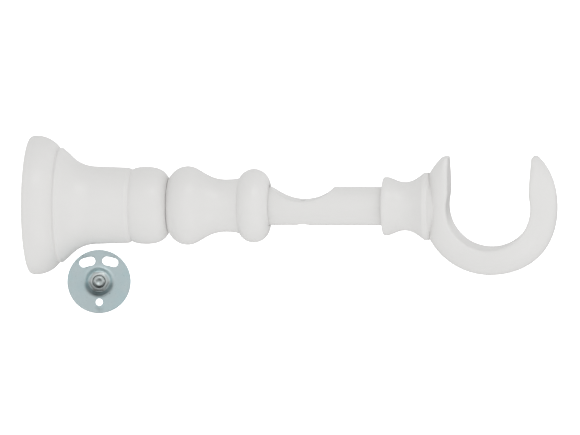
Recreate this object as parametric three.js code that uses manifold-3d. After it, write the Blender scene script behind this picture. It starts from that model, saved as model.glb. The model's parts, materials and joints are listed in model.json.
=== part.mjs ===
// Turned wooden double-rod curtain bracket with its steel wall plate.
// Millimetres, +X from the wall out along the bracket, +Z up, towards the open side of both rod seats.
// The origin is the centre of the base's wall face. The wall plate is shown off the bracket, below the
// base and face on, the way it lies before it is screwed to the wall.

import * as THREE from 'three';
import { mergeVertices } from 'three/addons/utils/BufferGeometryUtils.js';
import Module from 'manifold-3d';

const wasm = await Module();
wasm.setup();

// Clearances between pieces
const glueGap = 0.15;          // around and between glued or screwed pieces
const slideGap = 0.3;          // around the arm in its bore, and in front of the clamp screw
const rodClearance = 0.5;      // radial room that each seat leaves its rod

// The two rods that the bracket carries
const rodRadius = 17.5;
const seatRadius = rodRadius + rodClearance;

// Base: flange, flare, neck and end collar
const flangeRadius = 30;
const flangeEdge = 2.5;        // straight edge at the wall
const flangeRound = 11.8;      // radius of the flange's rounded front
const flangeHeight = 12.45;
const shoulderLand = 0.85;
const flareLength = 14.7;
const neckRadius = 16.8;
const neckTaper = 0.5;
const neckLength = 14.6;
const grooveDepth = 0.8;
const grooveHalfWidth = 1.4;
const collarRadius = 16.7;
const collarLength = 15.9;
const seamRadius = 11.5;       // flat end where base and spindle meet

// Spindle: swell, waist and end bead with the arm's bore
const swellRadius = 17;
const swellRise = 8.1;
const swellFall = 16.5;
const waistRadius = 11.35;
const waistLength = 5.9;
const waistFlare = 0.65;
const beadRound = 6.9;
const mouthLand = 0.34;
const boreDepth = 26;

// Arm: dowel with the rear rod's notch, and the ferrule on its end
const dowelRadius = 8.36;
const dowelReach = 48.9;       // from the bore's mouth to the ferrule
const dowelChamfer = 0.8;
const rearSeatReach = 14.4;    // from the bore's mouth to the rear rod's centre
const rearSeatFloor = 2.4;     // height of the notch's floor above the arm's axis
const notchLip = 1.6;          // how far the rounded lip runs along the dowel
const notchLipDrop = 0.6;
const rodScrewHead = 3.15;     // radius of the counterbore under the rear seat
const rodScrewHeadDepth = 3.4;
const rodScrewShank = 1.75;
const ferruleLength = 19.9;
const ferruleLip = 12.6;
const ferruleWaist = 10.5;
const ferruleSocket = 7;
const ferruleOverhang = 0.3;   // how far the ferrule's land stands past the ring's flat

// Ring: the front rod's seat
const ringWall = 11.5;
const ringSeatDepth = 3.7;     // how deep the ring is flattened where the ferrule meets it
const ringHalfThickness = 10.5;
const ringEdge = 1.2;
const tipHeight = 21.4;
const tipRound = 0.8;
const lipCatch = 0.75;         // how far each lip stands in over the rod
const rearWallDraft = 0.7;     // degrees
const frontWallDraft = 3.4;    // degrees

// Fixings inside the wood
const insertRadius = 4;
const insertLength = 12;
const insertBore = 2.65;
const insertRunOut = 3;        // pocket left behind the insert for the stud
const jointScrewRadius = 2.5;
const jointScrewHalf = 14.6;
const jointScrewTip = 4;
const pinRadius = 3;
const pinInRing = 4.9;
const pinInDowel = 11;
const clampInsertRadius = 3;
const clampInsertLength = 5.2;
const clampScrewRadius = 1.5;
const clampScrewLength = 6.2;
const clampScrewKey = 0.87;    // hexagon socket, centre to corner
const clampScrewKeyDepth = 2;

// Wall plate, its stud and nut
const plateRadius = 13.72;
const plateSheet = 1.2;
const plateRoom = 0.55;        // radial room in the base's recess
const bossRadius = 6;
const bossTop = 4.9;
const bossHeight = 3.6;
const studRadius = 2.45;
const studReach = 10;          // beyond the nut
const studHeadRadius = 4;
const studHole = 2.75;
const studDimple = 1.3;
const nutFlats = 8;
const nutHeight = 4;
const slotCurve = 20.5;        // the slots' gentle curve, about a point below the plate's centre
const slotDrop = 11.4;
const slotHalfWidth = 1.85;
const slotInnerAngle = 9.5;    // degrees either side of the plate's top
const slotOuterAngle = 18.5;
const keyholeRadius = 1.5;
const keyholeReach = 8.9;
const plateTurn = 8.7;          // degrees: the loose plate faces slightly outwards
const plateLean = 6.5;          // degrees: and leans back a little
const plateGap = 2.6;          // clear distance below the base's neck
const plateLead = 2.9;         // clear distance beyond the flange's shoulder

// Facets
const roundSides = 36;
const smallSides = 20;
const ringSides = 60;
const curveSteps = 4;

// Stations along the bracket
const shoulderRadius = flangeRadius - flangeRound
  + Math.sqrt(flangeRound ** 2 - (flangeHeight - flangeEdge) ** 2);
const flareStart = flangeHeight + shoulderLand;
const neckStart = flareStart + flareLength;
const grooveStart = neckStart + neckLength;
const collarStart = grooveStart + grooveHalfWidth;
const seam = collarStart + collarLength;
const spindleStart = seam + glueGap;
const swellCrest = spindleStart + swellRise;
const waistStart = swellCrest + swellFall;
const beadStart = waistStart + waistLength;
const boreRadius = dowelRadius + slideGap;
const beadCore = boreRadius + mouthLand;
const beadFootRadius = waistRadius + waistFlare;
const beadFootAngle = Math.acos((beadFootRadius - beadCore) / beadRound);
const beadCentre = beadStart + beadRound * Math.sin(beadFootAngle);
const mouth = beadCentre + beadRound;
const boreFloor = mouth - boreDepth;
const rearSeat = mouth + rearSeatReach;
const ferruleStart = mouth + dowelReach;
const ferruleEnd = ferruleStart + ferruleLength;
const ringOuterRadius = seatRadius + ringWall;
const ringFlat = ringOuterRadius - ringSeatDepth;
const ringCentre = ferruleEnd + glueGap + ringFlat;
const dowelEnd = ferruleStart + ferruleSocket - glueGap;

// The base's recess takes the plate, and its well takes the boss and nut
const recessRadius = plateRadius + plateRoom;
const recessDepth = plateSheet + 2.3;
const wellRadius = bossRadius + 1.2;
const wellDepth = bossHeight + nutHeight + 1.2;
const insertEnd = wellDepth + insertLength;

const paintedWood = new THREE.MeshStandardMaterial({ color: 0xe4e3e0, roughness: 0.42, metalness: 0 });
const beech = new THREE.MeshStandardMaterial({ color: 0xcfae84, roughness: 0.7, metalness: 0 });
const zinc = new THREE.MeshStandardMaterial({ color: 0xb4c6cb, roughness: 0.32, metalness: 0.9 });
const steel = new THREE.MeshStandardMaterial({ color: 0x9ba0a3, roughness: 0.35, metalness: 0.95 });
const brass = new THREE.MeshStandardMaterial({ color: 0xc9a55a, roughness: 0.3, metalness: 0.95 });

// A closed geometry as a solid that can be cut and joined
function solidOf(geometry) {
  const bare = geometry.clone();
  bare.deleteAttribute('normal');
  bare.deleteAttribute('uv');
  const merged = mergeVertices(bare, 1e-4);
  const corners = merged.index.array;
  const triangles = [];
  for (let i = 0; i < corners.length; i += 3) {
    const [a, b, c] = corners.slice(i, i + 3);
    if (a !== b && b !== c && c !== a) triangles.push(a, b, c);
  }
  return new wasm.Manifold(new wasm.Mesh({
    numProp: 3,
    vertProperties: new Float32Array(merged.attributes.position.array),
    triVerts: new Uint32Array(triangles),
  }));
}

// The geometry that is left of one body after all the cutters are taken away
function cut(body, cutters) {
  let solid = solidOf(body);
  for (const cutter of cutters) solid = solid.subtract(solidOf(cutter));
  const mesh = solid.getMesh();
  const geometry = new THREE.BufferGeometry();
  geometry.setAttribute('position', new THREE.BufferAttribute(new Float32Array(mesh.vertProperties), 3));
  geometry.setIndex(new THREE.BufferAttribute(new Uint32Array(mesh.triVerts), 1));
  geometry.computeVertexNormals();
  return geometry;
}

// Outlines are drawn as (radius, distance along the axis). These turn them about +Z and about +X.
function turnedUp(outline, sides) {
  return new THREE.LatheGeometry(outline.getPoints(curveSteps), sides).rotateX(Math.PI / 2);
}

function turnedOut(outline, sides) {
  return new THREE.LatheGeometry(outline.getPoints(curveSteps), sides).rotateZ(-Math.PI / 2);
}

// A plain round bar along +X between two stations
function barOut(radius, from, to, sides = smallSides) {
  return new THREE.CylinderGeometry(radius, radius, to - from, sides)
    .rotateZ(-Math.PI / 2)
    .translate((from + to) / 2, 0, 0);
}

// A plain round bar along +Z at the station x
function barUp(radius, x, from, to, sides = smallSides) {
  return new THREE.CylinderGeometry(radius, radius, to - from, sides)
    .rotateX(Math.PI / 2)
    .translate(x, 0, (from + to) / 2);
}

// A shape drawn in X and Z, as thick as width and centred on the bracket's middle plane
function slabAcross(shape, width) {
  return new THREE.ExtrudeGeometry(shape, { depth: width, bevelEnabled: false, curveSegments: ringSides / 4 })
    .rotateX(Math.PI / 2)
    .translate(0, width / 2, 0);
}

function piece(name, geometry, material) {
  const mesh = new THREE.Mesh(geometry, material);
  mesh.name = name;
  return mesh;
}

function base() {
  const grooveFloor = neckRadius - neckTaper - grooveDepth;
  const roundEnd = Math.asin((flangeHeight - flangeEdge) / flangeRound);
  const screwRadius = jointScrewRadius + glueGap;
  const screwFloor = seam - jointScrewHalf - glueGap;
  const outline = new THREE.Path()
    .moveTo(0, insertEnd + insertRunOut)
    .lineTo(insertRadius + glueGap, insertEnd + insertRunOut)
    .lineTo(insertRadius + glueGap, wellDepth)
    .lineTo(wellRadius, wellDepth)
    .lineTo(wellRadius, recessDepth)
    .lineTo(recessRadius, recessDepth)
    .lineTo(recessRadius, 0)
    .lineTo(flangeRadius - 0.5, 0)
    .lineTo(flangeRadius, 1.2)
    .lineTo(flangeRadius, flangeEdge)
    .absarc(flangeRadius - flangeRound, flangeEdge, flangeRound, 0, roundEnd, false)
    .lineTo(shoulderRadius - 0.1, flareStart)
    .bezierCurveTo(shoulderRadius - 1.9, flareStart + 0.24 * flareLength,
      neckRadius + 0.4, flareStart + 0.42 * flareLength, neckRadius, neckStart)
    .lineTo(neckRadius - neckTaper, grooveStart)
    .lineTo(grooveFloor, collarStart)
    .bezierCurveTo(grooveFloor + 0.8, collarStart + 1.2, collarRadius, collarStart + 0.2 * collarLength,
      collarRadius, collarStart + 0.38 * collarLength)
    .bezierCurveTo(collarRadius, collarStart + 0.72 * collarLength,
      collarRadius - 1.5, seam - 1.5, seamRadius, seam)
    .lineTo(screwRadius, seam)
    .lineTo(screwRadius, screwFloor)
    .lineTo(0, screwFloor);
  return piece('base', turnedOut(outline, roundSides), paintedWood);
}

// Threaded insert that the wall plate's stud screws into
function baseInsert() {
  const outline = new THREE.Path()
    .moveTo(insertBore, wellDepth + glueGap)
    .lineTo(insertRadius, wellDepth + glueGap)
    .lineTo(insertRadius, insertEnd)
    .lineTo(insertBore, insertEnd)
    .lineTo(insertBore, wellDepth + glueGap);
  return piece('base_insert', turnedOut(outline, smallSides), zinc);
}

// Double-ended wood screw that joins the base and the spindle
function jointScrew() {
  const middle = (seam + spindleStart) / 2;
  const outline = new THREE.Path()
    .moveTo(0, middle - jointScrewHalf)
    .lineTo(jointScrewRadius, middle - jointScrewHalf + jointScrewTip)
    .lineTo(jointScrewRadius, middle + jointScrewHalf - jointScrewTip)
    .lineTo(0, middle + jointScrewHalf);
  return piece('joint_screw', turnedOut(outline, smallSides), steel);
}

function spindle() {
  const screwRadius = jointScrewRadius + glueGap;
  const screwFloor = spindleStart + jointScrewHalf + glueGap;
  const outline = new THREE.Path()
    .moveTo(0, screwFloor)
    .lineTo(screwRadius, screwFloor)
    .lineTo(screwRadius, spindleStart)
    .lineTo(seamRadius, spindleStart)
    .bezierCurveTo(seamRadius + 2.7, spindleStart + 0.15 * swellRise,
      swellRadius, spindleStart + 0.5 * swellRise, swellRadius, swellCrest)
    .bezierCurveTo(swellRadius, swellCrest + 0.33 * swellFall,
      waistRadius, swellCrest + 0.48 * swellFall, waistRadius, waistStart)
    .quadraticCurveTo(waistRadius, waistStart + 0.6 * waistLength, beadFootRadius, beadStart)
    .absarc(beadCore, beadCentre, beadRound, -beadFootAngle, Math.PI / 2, false)
    .lineTo(boreRadius, mouth)
    .lineTo(boreRadius, boreFloor)
    .lineTo(0, boreFloor);
  const body = turnedOut(outline, roundSides);
  const screwHole = barUp(clampInsertRadius + glueGap, beadCentre, -beadCore - beadRound - 1, 0.3 - boreRadius);
  return piece('spindle', cut(body, [screwHole]), paintedWood);
}

// Brass insert and grub screw in the bead's underside: they clamp the arm's dowel
function clampInsert() {
  const top = -boreRadius - 0.8;
  const outline = new THREE.Path()
    .moveTo(clampScrewRadius + glueGap, top - clampInsertLength)
    .lineTo(clampInsertRadius, top - clampInsertLength)
    .lineTo(clampInsertRadius, top)
    .lineTo(clampScrewRadius + glueGap, top)
    .lineTo(clampScrewRadius + glueGap, top - clampInsertLength);
  const body = turnedUp(outline, smallSides).translate(beadCentre, 0, 0);
  return piece('clamp_insert', body, brass);
}

function clampScrew() {
  const top = -dowelRadius - slideGap;
  const bottom = top - clampScrewLength;
  const body = barUp(clampScrewRadius, beadCentre, bottom, top);
  const key = barUp(clampScrewKey, beadCentre, bottom - 1, bottom + clampScrewKeyDepth, 6);
  return piece('clamp_screw', cut(body, [key]), steel);
}

// The rear rod's seat: an arc across the dowel whose ends run out in rounded lips
function rearSeatCutter() {
  const centreHeight = rearSeatFloor + seatRadius;
  const lipHeight = dowelRadius - notchLipDrop;
  const lipAngle = Math.asin((centreHeight - lipHeight) / seatRadius);
  const lipX = seatRadius * Math.cos(lipAngle);
  const top = centreHeight + dowelRadius;
  const outline = new THREE.Shape()
    .moveTo(-lipX - notchLip, top)
    .lineTo(-lipX - notchLip, dowelRadius)
    .quadraticCurveTo(-lipX - 0.3 * notchLip, dowelRadius, -lipX, lipHeight)
    .absarc(0, centreHeight, seatRadius, Math.PI + lipAngle, -lipAngle, false)
    .quadraticCurveTo(lipX + 0.3 * notchLip, dowelRadius, lipX + notchLip, dowelRadius)
    .lineTo(lipX + notchLip, top);
  return slabAcross(outline, 4 * dowelRadius).translate(rearSeat, 0, 0);
}

function armDowel() {
  const start = boreFloor + slideGap;
  const pinHole = pinRadius + glueGap;
  const outline = new THREE.Path()
    .moveTo(0, start)
    .lineTo(dowelRadius - dowelChamfer, start)
    .lineTo(dowelRadius, start + dowelChamfer)
    .lineTo(dowelRadius, dowelEnd)
    .lineTo(pinHole, dowelEnd)
    .lineTo(pinHole, dowelEnd - pinInDowel - glueGap)
    .lineTo(0, dowelEnd - pinInDowel - glueGap);
  const headHole = barUp(rodScrewHead, rearSeat, -dowelRadius - 1, rodScrewHeadDepth - dowelRadius);
  const shankHole = barUp(rodScrewShank, rearSeat, -dowelRadius - 1, rearSeatFloor + 1);
  const body = cut(turnedOut(outline, roundSides), [rearSeatCutter(), headHole, shankHole]);
  return piece('arm_dowel', body, paintedWood);
}

function ferrule() {
  const land = Math.sqrt(ringOuterRadius ** 2 - ringFlat ** 2) + ferruleOverhang;
  const socket = dowelRadius + glueGap;
  const pinHole = pinRadius + glueGap;
  const waist = ferruleStart + 0.47 * ferruleLength;
  const landStart = ferruleEnd - 0.105 * ferruleLength;
  const lipEnd = ferruleStart + 0.11 * ferruleLength;
  const outline = new THREE.Path()
    .moveTo(socket, ferruleStart)
    .lineTo(ferruleLip - 1.2, ferruleStart)
    .quadraticCurveTo(ferruleLip, ferruleStart, ferruleLip, ferruleStart + 0.06 * ferruleLength)
    .lineTo(ferruleLip, lipEnd)
    .bezierCurveTo(ferruleLip - 0.8, lipEnd + 2, ferruleWaist, waist - 3.2, ferruleWaist, waist)
    .bezierCurveTo(ferruleWaist, waist + 3.6, land - 2, landStart - 2.6, land - 0.05, landStart)
    .lineTo(land, ferruleEnd)
    .lineTo(pinHole, ferruleEnd)
    .lineTo(pinHole, ferruleStart + ferruleSocket)
    .lineTo(socket, ferruleStart + ferruleSocket)
    .lineTo(socket, ferruleStart);
  return piece('ferrule', turnedOut(outline, roundSides), paintedWood);
}

// Wooden pin that runs from the dowel through the ferrule into the ring
function headPin() {
  const pin = barOut(pinRadius, dowelEnd - pinInDowel, ringCentre - ringFlat + pinInRing);
  return piece('head_pin', pin, beech);
}

// The open side of the ring: two straight walls that lean out from the catching lips, up to the
// rounded tips. Everything above the tips goes as well.
function ringMouthCutter() {
  const lipHalf = seatRadius - lipCatch;
  const lipHeight = Math.sqrt(seatRadius ** 2 - lipHalf ** 2);
  const leanTo = (draft, height) => lipHalf + (height - lipHeight) * Math.tan(THREE.MathUtils.degToRad(draft));
  const rearFoot = leanTo(rearWallDraft, tipHeight - tipRound);
  const frontFoot = leanTo(frontWallDraft, tipHeight - tipRound);
  const rearTip = leanTo(rearWallDraft, tipHeight) + tipRound;
  const frontTip = leanTo(frontWallDraft, tipHeight) + tipRound;
  const side = ringOuterRadius + 1;
  const outline = new THREE.Shape()
    .moveTo(-lipHalf, 0)
    .lineTo(lipHalf, 0)
    .lineTo(lipHalf, lipHeight)
    .lineTo(frontFoot, tipHeight - tipRound)
    .quadraticCurveTo(frontTip - tipRound, tipHeight, frontTip, tipHeight)
    .lineTo(side, tipHeight)
    .lineTo(side, side)
    .lineTo(-side, side)
    .lineTo(-side, tipHeight)
    .lineTo(-rearTip, tipHeight)
    .quadraticCurveTo(tipRound - rearTip, tipHeight, -rearFoot, tipHeight - tipRound)
    .lineTo(-lipHalf, lipHeight);
  return slabAcross(outline, 4 * ringHalfThickness);
}

function ring() {
  const inner = ringHalfThickness - ringEdge;
  const crown = 0.62 * ringHalfThickness;
  const face = seatRadius + 1.3 * ringEdge;
  const section = new THREE.Path()
    .moveTo(seatRadius, -inner)
    .quadraticCurveTo(seatRadius + 0.2, -ringHalfThickness, face, -ringHalfThickness)
    .bezierCurveTo(face + 0.5 * ringWall, -ringHalfThickness, ringOuterRadius, -crown, ringOuterRadius, 0)
    .bezierCurveTo(ringOuterRadius, crown, face + 0.5 * ringWall, ringHalfThickness, face, ringHalfThickness)
    .quadraticCurveTo(seatRadius + 0.2, ringHalfThickness, seatRadius, inner)
    .lineTo(seatRadius, -inner);
  const body = new THREE.LatheGeometry(section.getPoints(curveSteps), ringSides);
  const flat = new THREE.BoxGeometry(2 * ringSeatDepth, 4 * ringHalfThickness, 2 * ringOuterRadius)
    .translate(-ringFlat - ringSeatDepth, 0, 0);
  const pinHole = barOut(pinRadius + glueGap, -ringFlat - 1, pinInRing + glueGap - ringFlat);
  const geometry = cut(body, [ringMouthCutter(), flat, pinHole]);
  return piece('ring', geometry.translate(ringCentre, 0, 0), paintedWood);
}

// One of the plate's two curved slots, centred on an arc about the plate's axis
function plateSlot(side) {
  const from = Math.PI / 2 - side * THREE.MathUtils.degToRad(slotInnerAngle);
  const to = Math.PI / 2 - side * THREE.MathUtils.degToRad(slotOuterAngle);
  const [start, end] = side > 0 ? [to, from] : [from, to];
  const at = (angle) => [slotCurve * Math.cos(angle), slotCurve * Math.sin(angle) - slotDrop];
  const outline = new THREE.Shape()
    .absarc(0, -slotDrop, slotCurve + slotHalfWidth, start, end, false)
    .absarc(...at(end), slotHalfWidth, end, end + Math.PI, false)
    .absarc(0, -slotDrop, slotCurve - slotHalfWidth, end, start, true)
    .absarc(...at(start), slotHalfWidth, start + Math.PI, start + 2 * Math.PI, false);
  return new THREE.ExtrudeGeometry(outline, { depth: 3 * plateSheet, bevelEnabled: false, curveSegments: 6 })
    .translate(0, 0, -plateSheet);
}

// The plate and its fittings are drawn with the wall side at z = 0 and the stud along +Z
function wallPlate() {
  const ceiling = bossHeight - plateSheet;
  const outline = new THREE.Path()
    .moveTo(studHole, ceiling)
    .lineTo(bossTop - 0.5, ceiling)
    .quadraticCurveTo(bossTop, ceiling, bossRadius - plateSheet + 0.2, 0)
    .lineTo(plateRadius, 0)
    .lineTo(plateRadius, plateSheet)
    .lineTo(bossRadius + 0.6, plateSheet)
    .quadraticCurveTo(bossRadius, plateSheet, bossRadius - 0.3, plateSheet + 0.6)
    .lineTo(bossTop + 0.4, bossHeight - 0.5)
    .quadraticCurveTo(bossTop + 0.2, bossHeight, bossTop - 0.3, bossHeight)
    .lineTo(studHole, bossHeight)
    .lineTo(studHole, ceiling);
  const keyhole = new THREE.CylinderGeometry(keyholeRadius, keyholeRadius, 3 * plateSheet, smallSides)
    .rotateX(Math.PI / 2)
    .translate(0, -keyholeReach, plateSheet / 2);
  const body = cut(turnedUp(outline, roundSides), [plateSlot(1), plateSlot(-1), keyhole]);
  return piece('wall_plate', body, zinc);
}

function plateStud() {
  const headTop = bossHeight - plateSheet - slideGap;
  const tip = bossHeight + nutHeight + studReach;
  const outline = new THREE.Path()
    .moveTo(0, slideGap)
    .lineTo(studHeadRadius, slideGap)
    .lineTo(studHeadRadius, headTop)
    .lineTo(studRadius, headTop)
    .lineTo(studRadius, tip - 0.7)
    .lineTo(studRadius - 0.5, tip)
    .lineTo(studDimple, tip)
    .lineTo(0, tip - 0.5);
  return piece('plate_stud', turnedUp(outline, smallSides), zinc);
}

function plateNut() {
  const corner = nutFlats / 2 / Math.cos(Math.PI / 6);
  const outline = new THREE.Shape();
  for (let i = 0; i < 6; i += 1) {
    const angle = i * Math.PI / 3;
    outline[i ? 'lineTo' : 'moveTo'](corner * Math.cos(angle), corner * Math.sin(angle));
  }
  outline.holes.push(new THREE.Path().absarc(0, 0, studRadius + slideGap, 0, 2 * Math.PI, true));
  const body = new THREE.ExtrudeGeometry(outline, { depth: nutHeight, bevelEnabled: false, curveSegments: smallSides })
    .translate(0, 0, bossHeight + slideGap);
  return piece('plate_nut', body, zinc);
}

// The loose plate, turned and leaned to face outwards, clear of the flange and below the neck
function looseWallPlate() {
  const group = new THREE.Group();
  group.add(wallPlate(), plateStud(), plateNut());
  group.rotation.set(Math.PI / 2 - THREE.MathUtils.degToRad(plateLean), 0,
    THREE.MathUtils.degToRad(plateTurn), 'ZYX');
  group.position.set(flangeHeight + plateLead + plateRadius, 0, -(neckRadius + plateGap + plateRadius));
  return group;
}

const bracket = new THREE.Group();
bracket.add(base(), baseInsert(), jointScrew());
bracket.add(spindle(), clampInsert(), clampScrew());
bracket.add(armDowel(), ferrule(), headPin(), ring());
bracket.add(looseWallPlate());

export default bracket;
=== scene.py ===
"""Looks of a turned, white-lacquered double curtain rod bracket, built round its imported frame.

Lengths inside the classes are millimetres, as on the maker's drawing; meshes are made in metres.
"""

import json
import logging
import math
from dataclasses import dataclass, field
from enum import Enum
from typing import Callable, Iterable, Sequence

import bmesh
import bpy
from mathutils import Matrix, Vector


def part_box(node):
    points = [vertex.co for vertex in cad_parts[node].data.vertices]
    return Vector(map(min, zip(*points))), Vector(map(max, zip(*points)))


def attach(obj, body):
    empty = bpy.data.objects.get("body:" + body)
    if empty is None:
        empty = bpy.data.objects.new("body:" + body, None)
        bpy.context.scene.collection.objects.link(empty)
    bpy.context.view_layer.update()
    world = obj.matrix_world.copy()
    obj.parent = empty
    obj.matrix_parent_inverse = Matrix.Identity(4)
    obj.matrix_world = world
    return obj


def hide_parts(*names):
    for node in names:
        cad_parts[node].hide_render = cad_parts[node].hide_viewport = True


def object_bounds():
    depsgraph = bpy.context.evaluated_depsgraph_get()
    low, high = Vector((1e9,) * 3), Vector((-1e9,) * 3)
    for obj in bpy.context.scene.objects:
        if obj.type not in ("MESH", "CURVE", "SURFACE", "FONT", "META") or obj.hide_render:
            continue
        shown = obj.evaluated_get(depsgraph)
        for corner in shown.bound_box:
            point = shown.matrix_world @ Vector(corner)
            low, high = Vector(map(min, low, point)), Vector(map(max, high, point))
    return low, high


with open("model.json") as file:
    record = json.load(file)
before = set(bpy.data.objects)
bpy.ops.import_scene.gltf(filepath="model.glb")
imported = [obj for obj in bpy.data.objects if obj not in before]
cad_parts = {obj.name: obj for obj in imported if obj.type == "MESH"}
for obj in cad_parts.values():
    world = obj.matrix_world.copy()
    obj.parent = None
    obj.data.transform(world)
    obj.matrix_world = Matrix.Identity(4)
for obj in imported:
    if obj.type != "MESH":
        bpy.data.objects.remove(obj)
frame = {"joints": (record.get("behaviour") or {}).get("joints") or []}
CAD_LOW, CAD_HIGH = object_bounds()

LOG = logging.getLogger("bracket")
MM = 0.001
CREASE = 35.0
DOUBLED = 1e-8
LEAST_STEP = 1e-4
MOST_OF_A_SIDE = 0.45
WOOD_SIDES = 144
FLANK_SLOPE = 1.35
FLANK_START = 0.18
Point = tuple[float, float]
Colour = tuple[float, float, float, float]
Sockets = bpy.types.bpy_prop_collection
Feed = float | Colour | bpy.types.NodeSocket


# ---------------------------------------------------------------------------------------------
# Reading the frame
# ---------------------------------------------------------------------------------------------


@dataclass(frozen=True)
class Span:
    """Where a node lies along the bracket, and how far it reaches from the bracket's axis."""

    start: float
    end: float
    radius: float
    low: Vector
    high: Vector

    @classmethod
    def of(cls, node: str) -> "Span":
        """Reads a node's box.

        Args:
            node: the CAD node's name.

        Returns:
            The node's span, in millimetres.
        """
        low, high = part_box(node)
        low, high = low / MM, high / MM
        return cls(low.x, high.x, (high.y - low.y) / 2, low, high)

    @property
    def length(self) -> float:
        """The node's length along the bracket."""
        return self.end - self.start

    @property
    def middle(self) -> float:
        """The station halfway along the node."""
        return (self.start + self.end) / 2


def joint(name: str) -> dict:
    """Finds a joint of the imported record.

    Args:
        name: the joint's name.

    Returns:
        The joint's own record.
    """
    return next(row for row in frame["joints"] if row["name"] == name)


# ---------------------------------------------------------------------------------------------
# Outlines and meshes
# ---------------------------------------------------------------------------------------------


class Axis(Enum):
    """The row axis that a turned piece goes round."""

    ALONG = "x"
    UP = "z"


class Grain(Enum):
    """Which way the wood's grain runs, as the stretch of its pattern along X, Y and Z."""

    ALONG = (0.12, 1.0, 1.0)
    UPRIGHT = (1.0, 1.0, 0.12)


def cubic(corners: Sequence[Point], share: float) -> Point:
    """Finds a point on a cubic curve.

    Args:
        corners: the curve's start, its two handles and its end.
        share: how far along the curve the point lies, from 0 to 1.

    Returns:
        The point.
    """
    rest = 1 - share
    weights = (rest ** 3, 3 * share * rest ** 2, 3 * share * share * rest, share ** 3)
    return tuple(sum(w * c[k] for w, c in zip(weights, corners)) for k in (0, 1))


class Outline:
    """A line of (along, radius) points that a turning tool would follow."""

    def __init__(self, along: float, radius: float) -> None:
        """Starts the outline at one point."""
        self.points: list[Point] = [(along, radius)]

    def line(self, *points: Point) -> "Outline":
        """Goes straight to each of the points in turn."""
        self.points.extend(points)
        return self

    def curve(self, leave: Point, arrive: Point, end: Point, steps: int = 22) -> "Outline":
        """Follows a cubic curve.

        Args:
            leave: the handle that the curve leaves its start by.
            arrive: the handle that it comes in to its end by.
            end: the last point.
            steps: how many short lines stand for the curve.

        Returns:
            This outline.
        """
        corners = (self.points[-1], leave, arrive, end)
        self.points.extend(cubic(corners, i / steps) for i in range(1, steps + 1))
        return self

    def arc(self, centre: Point, radius: float, start: float, end: float, steps: int = 28) -> "Outline":
        """Follows a round arc.

        Args:
            centre: the arc's centre.
            radius: the arc's radius.
            start: the first angle, in radians, from straight out (0) towards further along (pi / 2).
            end: the last angle.
            steps: how many short lines stand for the arc.

        Returns:
            This outline.
        """
        for i in range(steps + 1):
            angle = start + (end - start) * i / steps
            self.points.append((centre[0] + radius * math.sin(angle), centre[1] + radius * math.cos(angle)))
        return self

    def softened(self, fillet: float, least_turn: float = 18.0, steps: int = 5) -> list[Point]:
        """Rounds every corner a little, as sanding and lacquer do.

        Args:
            fillet: how far from a corner its rounding starts.
            least_turn: corners that turn by fewer degrees than this stay as they are.
            steps: how many short lines round a corner.

        Returns:
            The rounded line's points.
        """
        kept = [self.points[0]]
        kept += [p for i, p in enumerate(self.points[1:], 1) if math.dist(p, self.points[i - 1]) > LEAST_STEP]
        soft = [kept[0]]
        for before, corner, after in zip(kept, kept[1:], kept[2:]):
            came = Vector(corner) - Vector(before)
            goes = Vector(after) - Vector(corner)
            if math.degrees(came.angle(goes)) < least_turn:
                soft.append(corner)
                continue
            reach = min(fillet, MOST_OF_A_SIDE * came.length, MOST_OF_A_SIDE * goes.length)
            first = Vector(corner) - came.normalized() * reach
            last = Vector(corner) + goes.normalized() * reach
            for i in range(steps + 1):
                t = i / steps
                point = first * (1 - t) ** 2 + Vector(corner) * 2 * t * (1 - t) + last * t * t
                soft.append((point.x, point.y))
        return [*soft, kept[-1]]


def finish_mesh(name: str, points: Iterable[Vector], faces: Iterable[Sequence[int]],
                crease: float = CREASE) -> bpy.types.Object:
    """Makes an object of points in millimetres.

    Args:
        name: the piece's name.
        points: its vertices.
        faces: its faces, as places in points.
        crease: edges that turn by more degrees than this stay crisp.

    Returns:
        The new object, in metres.
    """
    mesh = bpy.data.meshes.new(name)
    mesh.from_pydata([Vector(p) * MM for p in points], [], [tuple(f) for f in faces])
    mesh.validate()
    piece = bpy.data.objects.new(name, mesh)
    bpy.context.scene.collection.objects.link(piece)
    tidy(piece, crease)
    return piece


def tidy(piece: bpy.types.Object, crease: float = CREASE) -> None:
    """Joins doubled points, turns the faces outwards and shades them smooth between creases.

    Args:
        piece: the object whose mesh is cleaned.
        crease: as in finish_mesh.
    """
    work = bmesh.new()
    work.from_mesh(piece.data)
    bmesh.ops.remove_doubles(work, verts=work.verts, dist=DOUBLED)
    bmesh.ops.dissolve_degenerate(work, edges=work.edges, dist=DOUBLED)
    bmesh.ops.recalc_face_normals(work, faces=work.faces)
    work.to_mesh(piece.data)
    work.free()
    piece.data.shade_smooth()
    piece.data.set_sharp_from_angle(angle=math.radians(crease))


def loft(name: str, rings: Sequence[Sequence[Vector]], closed: bool,
         crease: float = CREASE) -> bpy.types.Object:
    """Skins a row of rings that have the same number of points.

    Args:
        name: the piece's name.
        rings: the rings, in order.
        closed: whether the last ring joins the first; otherwise both ends are capped.
        crease: as in finish_mesh.

    Returns:
        The new object.
    """
    sides = len(rings[0])
    points = [p for ring in rings for p in ring]
    faces: list[Sequence[int]] = []
    for i in range(len(rings) if closed else len(rings) - 1):
        here, there = i * sides, (i + 1) % len(rings) * sides
        for j in range(sides):
            k = (j + 1) % sides
            faces.append((here + j, here + k, there + k, there + j))
    if not closed:
        faces.append(tuple(range(sides)))
        faces.append(tuple(range(len(points) - sides, len(points))))
    return finish_mesh(name, points, faces, crease)


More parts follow.
